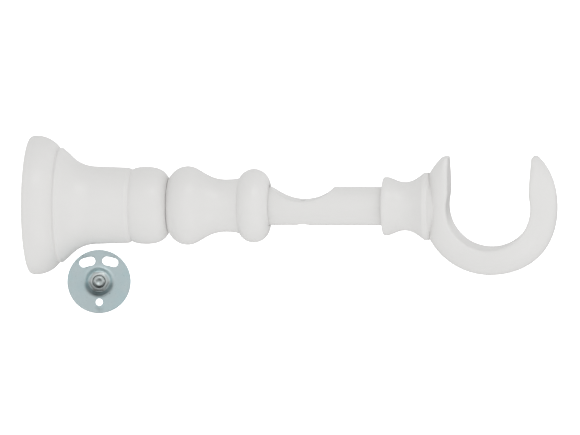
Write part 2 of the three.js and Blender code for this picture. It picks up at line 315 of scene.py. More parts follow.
def turned(name: str, outline: Sequence[Point], sides: int = 128, axis: Axis = Axis.ALONG,
           closed: bool = False, centre: Point = (0.0, 0.0), crease: float = CREASE) -> bpy.types.Object:
    """Turns an outline about a row axis, as a lathe does.

    Args:
        name: the piece's name.
        outline: (along, radius) points.
        sides: how many flats go round the piece.
        axis: the axis to go round.
        closed: whether the outline closes on itself, as a hollow piece's does.
        centre: the axis's place across its own direction.
        crease: as in finish_mesh.

    Returns:
        The new object.
    """
    rings = []
    for along, radius in outline:
        ring = []
        for j in range(sides):
            angle = 2 * math.pi * j / sides
            a, b = centre[0] + radius * math.cos(angle), centre[1] + radius * math.sin(angle)
            ring.append(Vector((along, a, b)) if axis is Axis.ALONG else Vector((a, b, along)))
        rings.append(ring)
    return loft(name, rings, closed, crease)


def thread_outline(crest: float, root: float, turn: float) -> float:
    """The radius of a thread's flank at one share of a turn, from crest to root and back."""
    share = abs(2 * (turn % 1.0) - 1)
    return root + (crest - root) * min(1.0, max(0.0, FLANK_SLOPE * share - FLANK_START))


def threaded(name: str, start: float, end: float, crest: Callable[[float], float],
             root: Callable[[float], float], pitch: float, sides: int = 48,
             steps: int = 10) -> list[list[Vector]]:
    """Rings of a helical thread about +X.

    Args:
        name: the piece that the thread is for, named in the log.
        start: where the thread starts.
        end: where it ends.
        crest: the crest's radius at each station.
        root: the root's radius at each station.
        pitch: the distance between turns.
        sides: points in each ring.
        steps: rings in each turn.

    Returns:
        The rings, from start to end.
    """
    count = max(2, round((end - start) / pitch * steps))
    LOG.debug("%s: %d rings of thread", name, count)
    rings = []
    for i in range(count + 1):
        along = start + (end - start) * i / count
        ring = []
        for j in range(sides):
            angle = 2 * math.pi * j / sides
            radius = thread_outline(crest(along), root(along), along / pitch - j / sides)
            ring.append(Vector((along, radius * math.cos(angle), radius * math.sin(angle))))
        rings.append(ring)
    return rings


def plain_ring(along: float, radius: float, sides: int = 48) -> list[Vector]:
    """One round ring about +X."""
    return [Vector((along, radius * math.cos(2 * math.pi * j / sides),
                    radius * math.sin(2 * math.pi * j / sides))) for j in range(sides)]


def carve(piece: bpy.types.Object, cutters: Sequence[bpy.types.Object], crease: float = CREASE) -> None:
    """Takes the cutters out of the piece, and removes them.

    Args:
        piece: the piece to cut.
        cutters: closed objects.
        crease: as in finish_mesh.
    """
    for cutter in cutters:
        step = piece.modifiers.new("cut", "BOOLEAN")
        step.operation = "DIFFERENCE"
        step.solver = "EXACT"
        step.object = cutter
    made = piece.evaluated_get(bpy.context.evaluated_depsgraph_get())
    piece.data = bpy.data.meshes.new_from_object(made)
    piece.modifiers.clear()
    for cutter in cutters:
        bpy.data.objects.remove(cutter)
    tidy(piece, crease)


def upright(rings: Iterable[Sequence[Vector]], station: float = 0.0) -> list[list[Vector]]:
    """Stands rings that lie about +X up about +Z, at a station along X."""
    return [[Vector((station + p.y, p.z, p.x)) for p in ring] for ring in rings]


def sweep(centre: Point, radius: float, start: float, end: float, steps: int = 24) -> list[Point]:
    """Points on a round arc about a centre, from one angle to another in radians."""
    angles = [start + (end - start) * i / steps for i in range(steps + 1)]
    return [(centre[0] + radius * math.cos(a), centre[1] + radius * math.sin(a)) for a in angles]


def prism(name: str, outline: Sequence[Point], low: float, high: float) -> bpy.types.Object:
    """A straight-sided block over an outline of (x, y) points, from z = low to z = high."""
    rings = [[Vector((x, y, z)) for x, y in outline] for z in (low, high)]
    return loft(name, rings, False)


# ---------------------------------------------------------------------------------------------
# Shader graphs: shared effects as node groups, finishes as small classes
# ---------------------------------------------------------------------------------------------


class Socket(Enum):
    """The kinds of socket that an effect's group has."""

    NUMBER = "NodeSocketFloat"
    VECTOR = "NodeSocketVector"
    COLOUR = "NodeSocketColor"


def give(tree: bpy.types.NodeTree, socket: bpy.types.NodeSocket, value: Feed) -> None:
    """Feeds an input socket.

    Args:
        tree: the tree that the socket is in.
        socket: the input.
        value: a socket, which is linked, or anything else, which is set.
    """
    if isinstance(value, bpy.types.NodeSocket):
        tree.links.new(value, socket)
    else:
        socket.default_value = value


class Graph:
    """A node tree that is filled one named node at a time."""

    def __init__(self, tree: bpy.types.NodeTree) -> None:
        """Takes over the tree."""
        self.tree = tree

    def add(self, kind: str, values: dict | None = None, **settings: object) -> bpy.types.Node:
        """Adds a node.

        Args:
            kind: the node's type, without its ShaderNode prefix.
            values: what goes into its inputs: a socket is linked, anything else is set.
            settings: the node's own properties.

        Returns:
            The node.
        """
        node = self.tree.nodes.new("ShaderNode" + kind)
        for name, value in settings.items():
            setattr(node, name, value)
        for name, value in (values or {}).items():
            give(self.tree, node.inputs[name], value)
        return node

    def math(self, operation: str, *values: Feed) -> bpy.types.NodeSocket:
        """Adds a Math node and returns what it puts out."""
        return self.add("Math", dict(enumerate(values)), operation=operation).outputs[0]

    def ramp(self, value: bpy.types.NodeSocket, low: float, high: float) -> bpy.types.NodeSocket:
        """Stretches a value so that low becomes 0 and high becomes 1, with soft ends.

        Args:
            value: the socket to stretch.
            low: what becomes 0.
            high: what becomes 1.

        Returns:
            The stretched value.
        """
        node = self.add("MapRange", {"Value": value, "From Min": low, "From Max": high},
                        interpolation_type="SMOOTHSTEP")
        return node.outputs["Result"]

    def mix(self, share: Feed, first: Feed, second: Feed) -> bpy.types.NodeSocket:
        """Mixes two colours by a share."""
        node = self.add("Mix", {0: share, 6: first, 7: second}, data_type="RGBA")
        return node.outputs[2]

    def noise(self, vector: bpy.types.NodeSocket, scale: Feed, detail: float = 3.0,
              rough: float = 0.5) -> bpy.types.NodeSocket:
        """Adds a noise texture and returns its value."""
        node = self.add("TexNoise", {"Vector": vector, "Scale": scale, "Detail": detail, "Roughness": rough})
        return node.outputs["Fac"]

    def stretched(self, shares: Sequence[float], seed: float = 0.0) -> bpy.types.NodeSocket:
        """Squeezes the surface point by a share along each axis and moves it by a seed.

        Args:
            shares: the squeeze along X, Y and Z.
            seed: how far the pattern is moved.

        Returns:
            The point, in metres.
        """
        where = self.add("TexCoord").outputs["Object"]
        node = self.add("Mapping", {"Vector": where, "Location": (seed, seed * 1.7, seed * 0.6),
                                    "Scale": tuple(shares)})
        return node.outputs["Vector"]


class Effect:
    """A shader node group with named sockets, built once and placed in any number of materials."""

    name = "effect"
    inputs: dict[str, tuple[Socket, object]] = {}
    outputs: dict[str, Socket] = {}

    @classmethod
    def group(cls) -> bpy.types.NodeTree:
        """Finds the effect's group, or builds it the first time.

        Returns:
            The group's node tree.
        """
        found = bpy.data.node_groups.get(cls.name)
        if found:
            return found
        tree = bpy.data.node_groups.new(cls.name, "ShaderNodeTree")
        for name, (kind, value) in cls.inputs.items():
            socket = tree.interface.new_socket(name, in_out="INPUT", socket_type=kind.value)
            socket.default_value = value
        for name, kind in cls.outputs.items():
            tree.interface.new_socket(name, in_out="OUTPUT", socket_type=kind.value)
        graph = Graph(tree)
        given = tree.nodes.new("NodeGroupInput").outputs
        made = cls.fill(graph, given)
        end = tree.nodes.new("NodeGroupOutput")
        for name, value in made.items():
            tree.links.new(value, end.inputs[name])
        return tree

    @classmethod
    def fill(cls, graph: Graph, given: Sockets) -> dict[str, bpy.types.NodeSocket]:
        """Builds the group's inside.

        Args:
            graph: the group's graph.
            given: the sockets that come in.

        Returns:
            The socket behind each named output.
        """
        raise NotImplementedError

    @classmethod
    def place(cls, graph: Graph, **values: Feed) -> bpy.types.Node:
        """Puts the effect in a material, with its own values.

        Args:
            graph: the material's graph.
            values: what goes into the group's named inputs.

        Returns:
            The group node.
        """
        node = graph.tree.nodes.new("ShaderNodeGroup")
        node.node_tree = cls.group()
        for name, value in values.items():
            give(graph.tree, node.inputs[name], value)
        return node


class WoodGrain(Effect):
    """Growth lines and pores of a close-grained hardwood."""

    name = "wood_grain"
    inputs = {"Vector": (Socket.VECTOR, (0, 0, 0)), "Rings": (Socket.NUMBER, 420.0),
              "Pores": (Socket.NUMBER, 3200.0)}
    outputs = {"Lines": Socket.NUMBER, "Pores": Socket.NUMBER, "Height": Socket.NUMBER}

    @classmethod
    def fill(cls, graph: Graph, given: Sockets) -> dict[str, bpy.types.NodeSocket]:
        """Slow bands for the growth lines, and short dark flecks for the pores.

        Args:
            graph: the group's graph.
            given: the sockets that come in.

        Returns:
            The socket behind each named output.
        """
        drift = graph.noise(given["Vector"], 24.0, 2.0)
        bent = graph.add("VectorMath", {0: given["Vector"], 1: graph.math("MULTIPLY", drift, 0.006)},
                         operation="ADD").outputs[0]
        lines = graph.noise(bent, given["Rings"], 4.0, 0.55)
        flecks = graph.ramp(graph.noise(bent, given["Pores"], 1.0, 0.5), 0.62, 0.72)
        height = graph.math("SUBTRACT", lines, graph.math("MULTIPLY", flecks, 0.5))
        return {"Lines": lines, "Pores": flecks, "Height": height}


class LacquerSkin(Effect):
    """The skin of sprayed lacquer: slow waves and a fine orange peel."""

    name = "lacquer_skin"
    inputs = {"Vector": (Socket.VECTOR, (0, 0, 0)), "Peel": (Socket.NUMBER, 1500.0),
              "Wave": (Socket.NUMBER, 110.0)}
    outputs = {"Height": Socket.NUMBER, "Cloud": Socket.NUMBER}

    @classmethod
    def fill(cls, graph: Graph, given: Sockets) -> dict[str, bpy.types.NodeSocket]:
        """Two noises added for the height, and a slow one alone for the tone.

        Args:
            graph: the group's graph.
            given: the sockets that come in.

        Returns:
            The socket behind each named output.
        """
        peel = graph.noise(given["Vector"], given["Peel"], 2.0, 0.45)
        wave = graph.noise(given["Vector"], given["Wave"], 2.0, 0.4)
        height = graph.math("ADD", graph.math("MULTIPLY", peel, 0.25), wave)
        return {"Height": height, "Cloud": graph.noise(given["Vector"], 38.0, 2.0, 0.5)}


class EdgeRubAndCreaseShade(Effect):
    """A mask of convex edges, broken up as handling wears them, and a mask of concave creases where the
    finishes paint shade.
    """

    name = "edge_rub_and_crease_shade"
    inputs = {"Vector": (Socket.VECTOR, (0, 0, 0)), "Start": (Socket.NUMBER, 0.53),
              "Full": (Socket.NUMBER, 0.62), "Break": (Socket.NUMBER, 260.0)}
    outputs = {"Mask": Socket.NUMBER, "Crease": Socket.NUMBER}

    @classmethod
    def fill(cls, graph: Graph, given: Sockets) -> dict[str, bpy.types.NodeSocket]:
        """Pointiness for worn edges and for creases, where the finishes paint shade, and a noise that breaks
        the edges up.

        Args:
            graph: the group's graph.
            given: the sockets that come in.

        Returns:
            The socket behind each named output.
        """
        point = graph.add("NewGeometry").outputs["Pointiness"]
        edge = graph.add("MapRange", {"Value": point, "From Min": given["Start"], "From Max": given["Full"]})
        patches = graph.ramp(graph.noise(given["Vector"], given["Break"], 4.0, 0.6), 0.35, 0.7)
        mask = graph.math("MULTIPLY", edge.outputs["Result"], patches)
        # Crease: concave creases, where the finishes darken the colour as painted shade.
        return {"Mask": mask, "Crease": graph.ramp(point, 0.49, 0.42)}


class SettledDust(Effect):
    """A thin film of dust on what faces up."""

    name = "settled_dust"
    inputs = {"Vector": (Socket.VECTOR, (0, 0, 0)), "Amount": (Socket.NUMBER, 0.1)}
    outputs = {"Mask": Socket.NUMBER}

    @classmethod
    def fill(cls, graph: Graph, given: Sockets) -> dict[str, bpy.types.NodeSocket]:
        """The upward part of the surface's direction, times specks and drifts.

        Args:
            graph: the group's graph.
            given: the sockets that come in.

        Returns:
            The socket behind each named output.
        """
        up = graph.add("SeparateXYZ", {0: graph.add("NewGeometry").outputs["Normal"]}).outputs["Z"]
        drift = graph.noise(given["Vector"], 90.0, 4.0, 0.65)
        cover = graph.math("MULTIPLY", graph.ramp(up, 0.45, 1.0), graph.ramp(drift, 0.35, 0.75))
        return {"Mask": graph.math("MULTIPLY", cover, given["Amount"])}


class MetalMottle(Effect):
    """Cloudy tints and fine scratches of a plated or machined metal."""

    name = "metal_mottle"
    inputs = {"Vector": (Socket.VECTOR, (0, 0, 0)), "Cloud": (Socket.NUMBER, 70.0),
              "Scratch": (Socket.NUMBER, 2600.0)}
    outputs = {"Tint": Socket.NUMBER, "Scratch": Socket.NUMBER, "Speck": Socket.NUMBER}

    @classmethod
    def fill(cls, graph: Graph, given: Sockets) -> dict[str, bpy.types.NodeSocket]:
        """A slow cloud, a noise drawn out into scratches, and small specks.

        Args:
            graph: the group's graph.
            given: the sockets that come in.

        Returns:
            The socket behind each named output.
        """
        tint = graph.ramp(graph.noise(given["Vector"], given["Cloud"], 3.0, 0.55), 0.36, 0.66)
        drawn = graph.add("Mapping", {"Vector": given["Vector"], "Rotation": (0.3, 0.5, 0.7),
                                      "Scale": (1.0, 0.05, 1.0)}).outputs["Vector"]
        scratch = graph.noise(drawn, given["Scratch"], 2.0, 0.5)
        speck = graph.ramp(graph.noise(given["Vector"], 1900.0, 1.0, 0.5), 0.66, 0.74)
        return {"Tint": tint, "Scratch": scratch, "Speck": speck}


def new_material(name: str) -> tuple[bpy.types.Material, Graph, bpy.types.Node]:
    """Makes a material with an empty graph, its Principled shader and its output.

    Args:
        name: the material's name.

    Returns:
        The material, its graph and its Principled node.
    """
    material = bpy.data.materials.new(name)
    material.use_nodes = True
    material.node_tree.nodes.clear()
    graph = Graph(material.node_tree)
    shader = graph.add("BsdfPrincipled")
    graph.add("OutputMaterial", {"Surface": shader.outputs[0]})
    return material, graph, shader


def feed(graph: Graph, shader: bpy.types.Node, **values: Feed) -> None:
    """Sets or links a shader's inputs; an underscore in a name stands for a space."""
    for name, value in values.items():
        give(graph.tree, shader.inputs[name.replace("_", " ")], value)


@dataclass(frozen=True)
class WhiteLacquer:
    """Satin white lacquer sprayed over turned hardwood."""

    slot: str = "painted_wood"
    colour: Colour = (0.80, 0.795, 0.784, 1.0)
    # shade: the darker tone of the random cloud and grain, and also the painted shade in creases.
    shade: Colour = (0.765, 0.759, 0.747, 1.0)
    rubbed: Colour = (0.70, 0.67, 0.62, 1.0)
    dust: Colour = (0.66, 0.65, 0.63, 1.0)
    roughness: float = 0.40
    peel_depth: float = 0.00002
    grain_depth: float = 0.000012
    tone_share: float = 0.35
    rub_share: float = 0.25
    crease_share: float = 0.15
    dust_share: float = 0.10
    roughness_spread: float = 0.08
    coat: float = 0.25
    coat_roughness: float = 0.22
    specular: float = 0.45

    def material(self, grain: Grain, seed: float) -> bpy.types.Material:
        """Builds the finish for one piece.

        Args:
            grain: which way the piece's grain runs.
            seed: moves the pattern, so that no two pieces match.

        Returns:
            The material.
        """
        material, graph, shader = new_material(f"white_lacquer_{grain.name.lower()}_{seed:.1f}")
        where = graph.stretched((1.0, 1.0, 1.0), seed)
        wood = WoodGrain.place(graph, Vector=graph.stretched(grain.value, seed))
        skin = LacquerSkin.place(graph, Vector=where)
        edge_wear_and_crease_shade = EdgeRubAndCreaseShade.place(graph, Vector=where)
        dust = SettledDust.place(graph, Vector=where, Amount=self.dust_share)
        cloud = graph.ramp(skin.outputs["Cloud"], 0.3, 0.7)
        tone = graph.math("MULTIPLY", graph.math("ADD", cloud, wood.outputs["Lines"]), self.tone_share)
        colour = graph.mix(tone, self.colour, self.shade)
        rubbed = graph.math("MULTIPLY", edge_wear_and_crease_shade.outputs["Mask"], self.rub_share)
        colour = graph.mix(rubbed, colour, self.rubbed)
        # Painted shade: concave creases are darkened towards the shade tone, where shade falls.
        shaded = graph.math("MULTIPLY", edge_wear_and_crease_shade.outputs["Crease"], self.crease_share)
        colour = graph.mix(shaded, colour, self.shade)
        colour = graph.mix(dust.outputs["Mask"], colour, self.dust)
        rough = graph.math("ADD", self.roughness, graph.math("MULTIPLY", cloud, self.roughness_spread))
        rough = graph.math("ADD", rough, dust.outputs["Mask"])
        grained = graph.add("Bump", {"Height": wood.outputs["Height"], "Distance": self.grain_depth,
                                     "Strength": 0.6})
        peeled = graph.add("Bump", {"Height": skin.outputs["Height"], "Distance": self.peel_depth,
                                    "Strength": 0.8, "Normal": grained.outputs[0]})
        feed(graph, shader, Base_Color=colour, Roughness=rough, Normal=peeled.outputs[0],
             Coat_Weight=self.coat, Coat_Roughness=self.coat_roughness, Specular_IOR_Level=self.specular)
        return material


@dataclass(frozen=True)
class BareWood:
    """Sawn or bored hardwood with no finish."""

    slot: str = "beech"
    light: Colour = (0.72, 0.54, 0.36, 1.0)
    dark: Colour = (0.56, 0.385, 0.23, 1.0)
    roughness: float = 0.72
    roughness_spread: float = 0.15
    depth: float = 0.00006
    rings: float = 300.0
    dark_share: float = 0.5
    specular: float = 0.3

    def material(self, grain: Grain, seed: float) -> bpy.types.Material:
        """Builds the finish for one piece.

        Args:
            grain: which way the piece's grain runs.
            seed: moves the pattern, so that no two pieces match.

        Returns:
            The material.
        """
        material, graph, shader = new_material(f"bare_wood_{grain.name.lower()}_{seed:.1f}")
        wood = WoodGrain.place(graph, Vector=graph.stretched(grain.value, seed), Rings=self.rings)
        edge_wear_and_crease_shade = EdgeRubAndCreaseShade.place(graph, Vector=graph.stretched((1.0, 1.0, 1.0), seed))
        colour = graph.mix(graph.ramp(wood.outputs["Lines"], 0.3, 0.72), self.light, self.dark)
        # Pores are real dark flecks; the crease mask adds painted shade, darkening concave creases where
        # shade falls.
        for mask in (wood.outputs["Pores"], edge_wear_and_crease_shade.outputs["Crease"]):
            colour = graph.mix(graph.math("MULTIPLY", mask, self.dark_share), colour, self.dark)
        bump = graph.add("Bump", {"Height": wood.outputs["Height"], "Distance": self.depth, "Strength": 0.7})
        spread = graph.math("MULTIPLY", wood.outputs["Pores"], self.roughness_spread)
        rough = graph.math("ADD", self.roughness, spread)
        feed(graph, shader, Base_Color=colour, Roughness=rough, Normal=bump.outputs[0],
             Specular_IOR_Level=self.specular)
        return material


@dataclass(frozen=True)
class Metal:
    """A plated or machined metal with clouds, scratches, tinted edges and painted shade in its creases."""

    slot: str
    name: str
    colour: Colour
    cloud: Colour
    edge: Colour
    # crease colour: painted shade in concave creases, and also the tint of the specks.
    crease: Colour
    roughness: float = 0.3
    roughness_spread: float = 0.14
    scratch_depth: float = 0.000008
    edge_share: float = 0.6
    crease_share: float = 0.6
    speck_share: float = 0.14
    metallic: float = 1.0

    def material(self, seed: float) -> bpy.types.Material:
        """Builds the finish.

        Args:
            seed: moves the pattern, so that no two pieces match.

        Returns:
            The material.
        """
        material, graph, shader = new_material(f"{self.name}_{seed:.1f}")
        where = graph.stretched((1.0, 1.0, 1.0), seed)
        mottle = MetalMottle.place(graph, Vector=where)
        edge_wear_and_crease_shade = EdgeRubAndCreaseShade.place(graph, Vector=where, Start=0.51, Full=0.57, Break=500.0)
        colour = graph.mix(mottle.outputs["Tint"], self.colour, self.cloud)
        # Edge tint: rubbed bright metal on the bright finishes, painted shade on the blue zinc's dark edges;
        # crease tint: painted shade in concave creases, where shade falls; specks: real marks.
        for mask, share, tint in ((edge_wear_and_crease_shade.outputs["Mask"], self.edge_share, self.edge),
                                  (edge_wear_and_crease_shade.outputs["Crease"], self.crease_share, self.crease),
                                  (mottle.outputs["Speck"], self.speck_share, self.crease)):
            colour = graph.mix(graph.math("MULTIPLY", mask, share), colour, tint)
        spread = graph.math("MULTIPLY", mottle.outputs["Scratch"], self.roughness_spread)
        rough = graph.math("ADD", self.roughness, spread)
        bump = graph.add("Bump", {"Height": mottle.outputs["Scratch"], "Distance": self.scratch_depth,
                                  "Strength": 0.8})
        feed(graph, shader, Base_Color=colour, Roughness=rough, Normal=bump.outputs[0],
             Metallic=self.metallic)
        return material


# Blue zinc's dark edge colour paints shade along the convex edges: a dark rim standing in for the dark
# reflection on the disc's rounded rims. Every metal's crease colour is painted shade in its creases.
BLUE_ZINC = Metal("zinc", "blue_zinc", colour=(0.53, 0.70, 0.73, 1.0), cloud=(0.61, 0.715, 0.735, 1.0),
                  edge=(0.17, 0.21, 0.22, 1.0), crease=(0.14, 0.17, 0.18, 1.0), roughness=0.31)
BRIGHT_ZINC = Metal("zinc", "bright_zinc", colour=(0.54, 0.60, 0.60, 1.0), cloud=(0.46, 0.50, 0.50, 1.0),
                    edge=(0.86, 0.88, 0.88, 1.0), crease=(0.16, 0.18, 0.18, 1.0), roughness=0.26)
BRIGHT_STEEL = Metal("steel", "bright_steel", colour=(0.52, 0.53, 0.54, 1.0),
                     cloud=(0.45, 0.46, 0.47, 1.0), edge=(0.75, 0.76, 0.77, 1.0),
                     crease=(0.16, 0.16, 0.17, 1.0), roughness=0.28)
BRASS = Metal("brass", "machined_brass", colour=(0.72, 0.53, 0.22, 1.0), cloud=(0.62, 0.43, 0.16, 1.0),
              edge=(0.90, 0.74, 0.42, 1.0), crease=(0.25, 0.16, 0.06, 1.0), roughness=0.26)
WHITE = WhiteLacquer()
BEECH = BareWood()


def dress(piece: bpy.types.Object, material: bpy.types.Material, body: str, node: str) -> None:
    """Gives a finished mesh its material and its body, and hides the CAD node that it stands for.

    Args:
        piece: the finished mesh.
        material: its finish.
        body: the body that it rides on.
        node: the CAD node that it stands for.
    """
    piece.data.materials.clear()
    piece.data.materials.append(material)
    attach(piece, body)
    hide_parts(node)
    LOG.info("%s: %d faces, rides on %s, stands for %s", piece.name, len(piece.data.polygons), body, node)


# ---------------------------------------------------------------------------------------------
# Base: flange, flare, neck and collar, with its insert and the screw that joins it to the spindle
# ---------------------------------------------------------------------------------------------


@dataclass
class Base:
    """The turned foot of the bracket, hollowed at the back for the wall plate."""

    span: Span = field(default_factory=lambda: Span.of("base"))
    insert: Span = field(default_factory=lambda: Span.of("base_insert"))
    screw: Span = field(default_factory=lambda: Span.of("joint_screw"))
    flange_round: float = 11.8
    flange_edge: float = 2.5
    flange_height: float = 12.45
    rim_chamfer: Point = (1.2, 0.5)
    shoulder_land: float = 0.5
    shoulder_lip: float = 0.45
    shoulder_width: float = 1.3
    flare_length: float = 15.05
    neck_radius: float = 16.8
    neck_taper: float = 0.5
    neck_length: float = 14.6
    groove_depth: float = 0.8
    groove_half: float = 1.4
    collar_radius: float = 16.7
    seam_radius: float = 11.5
    recess_radius: float = 14.27
    recess_depth: float = 3.5
    well_radius: float = 7.2
    fit: float = 0.15
    run_out: float = 3.0
    thread_depth: float = 0.42
    insert_bore: float = 2.5
    insert_pitch: float = 0.8
    insert_grip_pitch: float = 2.2
    insert_grip_depth: float = 0.55
    sanding: float = 0.45
    screw_pitch: float = 2.0
    screw_tip: float = 4.5

    def shell_outline(self) -> list[Point]:
        """Draws the shell, from the insert's pocket, over the outside, to the joint screw's pocket.

        Returns:
            The outline's points, with sanded corners.
        """
        s, seam = self.span, self.span.end
        pocket = self.insert.radius + self.fit
        arc_length = self.flange_height - self.flange_edge
        shoulder = s.radius - self.flange_round + math.sqrt(self.flange_round ** 2 - arc_length ** 2)
        lip = shoulder + self.shoulder_lip
        flare = s.start + self.flange_height + self.shoulder_land
        neck = flare + self.flare_length
        groove = neck + self.neck_length
        collar = groove + self.groove_half
        reach = seam - collar
        narrow = self.neck_radius - self.neck_taper
        floor = narrow - self.groove_depth
        screw = self.screw.radius + self.fit
        round_end = math.asin(arc_length / self.flange_round)
        line = Outline(self.insert.end + self.run_out, 0.0)
        line.line((self.insert.end + self.run_out, pocket), (self.insert.start - self.fit, pocket),
                  (self.insert.start - self.fit, self.well_radius),
                  (s.start + self.recess_depth, self.well_radius),
                  (s.start + self.recess_depth, self.recess_radius), (s.start, self.recess_radius),
                  (s.start, s.radius - self.rim_chamfer[1]), (s.start + self.rim_chamfer[0], s.radius))
        rim = (s.start + self.flange_edge, s.radius - self.flange_round)
        line.arc(rim, self.flange_round, 0.0, round_end)
        line.line((flare, lip - 0.2))
        line.curve((flare + 0.3, lip), (flare + 0.8, lip - 0.1),
                   (flare + self.shoulder_width, shoulder - 0.35), 8)
        line.curve((flare + 0.29 * self.flare_length, shoulder - 2.3),
                   (flare + 0.44 * self.flare_length, self.neck_radius + 0.5), (neck, self.neck_radius), 40)
        line.line((groove, narrow), (collar, floor))
        line.curve((collar + 1.2, floor + 0.8), (collar + 0.2 * reach, self.collar_radius),
                   (collar + 0.38 * reach, self.collar_radius))
        line.curve((collar + 0.72 * reach, self.collar_radius), (seam - 1.5, self.collar_radius - 1.5),
                   (seam, self.seam_radius), 34)
        line.line((seam, screw), (self.screw.start - self.fit, screw), (self.screw.start - self.fit, 0.0))
        return line.softened(self.sanding)

    def build_shell(self) -> bpy.types.Object:
        """Turns the shell, and leaves bare wood where the back was bored out after lacquering.

        Returns:
            The new object.
        """
        shell = turned("base_wood", self.shell_outline(), WOOD_SIDES)
        dress(shell, WHITE.material(Grain.ALONG, 0.3), "base", "base")
        shell.data.materials.append(BEECH.material(Grain.ALONG, 2.1))
        inner = (self.recess_radius - 0.05) * MM
        for face in shell.data.polygons:
            away = math.hypot(face.center.y, face.center.z)
            bored = face.center.x < self.insert.end * 1.5 * MM and away < inner + 0.0001
            drilled = away < (self.screw.radius + 2 * self.fit) * MM
            face.material_index = int(bored or drilled)
        return shell

    def build_insert(self) -> bpy.types.Object:
        """Cuts a coarse grip thread outside the insert and an M5 thread inside it.

        Returns:
            The new object.
        """
        start, end, radius, bore = self.insert.start, self.insert.end, self.insert.radius, self.insert_bore
        outside = threaded("insert", start + 1.4, end - 0.8, lambda x: radius,
                           lambda x: radius - self.insert_grip_depth, self.insert_grip_pitch, 64, 14)
        inside = threaded("insert bore", start + 0.7, end - 0.3, lambda x: bore,
                          lambda x: bore - self.thread_depth, self.insert_pitch, 64, 8)
        rings = [plain_ring(start, bore + 0.45, 64), plain_ring(start, radius - 0.25, 64),
                 plain_ring(start + 0.25, radius, 64), plain_ring(start + 1.1, radius, 64), *outside,
                 plain_ring(end, radius - 0.9, 64), plain_ring(end, bore, 64), *reversed(inside)]
        piece = loft("insert_m5", rings, True, 50)
        dress(piece, BLUE_ZINC.material(4.2), "base", "base_insert")
        return piece

    def build_screw(self) -> bpy.types.Object:
        """Makes the double-ended screw: a wood thread at each end and a plain middle.

        Returns:
            The new object.
        """
        start, end, radius = self.screw.start, self.screw.end, self.screw.radius
        middle = self.screw.middle

        def taper(x: float) -> float:
            """The share of the full radius at a station: it falls away towards both tips."""
            return min(1.0, 0.12 + 0.88 * min(x - start, end - x) / self.screw_tip)

        def crest(x: float) -> float:
            """The crest's radius."""
            return radius * taper(x)

        def root(x: float) -> float:
            """The root's radius, which meets the crest's in the plain middle."""
            fade = min(1.0, max(0.0, (abs(x - middle) - 1.2) / 1.2))
            return crest(x) * (1.0 - 0.3 * fade)

        rings = threaded("joint screw", start, end, crest, root, self.screw_pitch, 32, 10)
        piece = loft("joint_screw_double_ended", rings, False, 50)
        dress(piece, BRIGHT_STEEL.material(1.4), "base", "joint_screw")
        return piece

    def build(self) -> None:
        """Builds and dresses every piece of the base."""
        self.build_shell()
        self.build_insert()
        self.build_screw()


# ---------------------------------------------------------------------------------------------
# Stem: the spindle, and the insert and screw that clamp the arm
# ---------------------------------------------------------------------------------------------


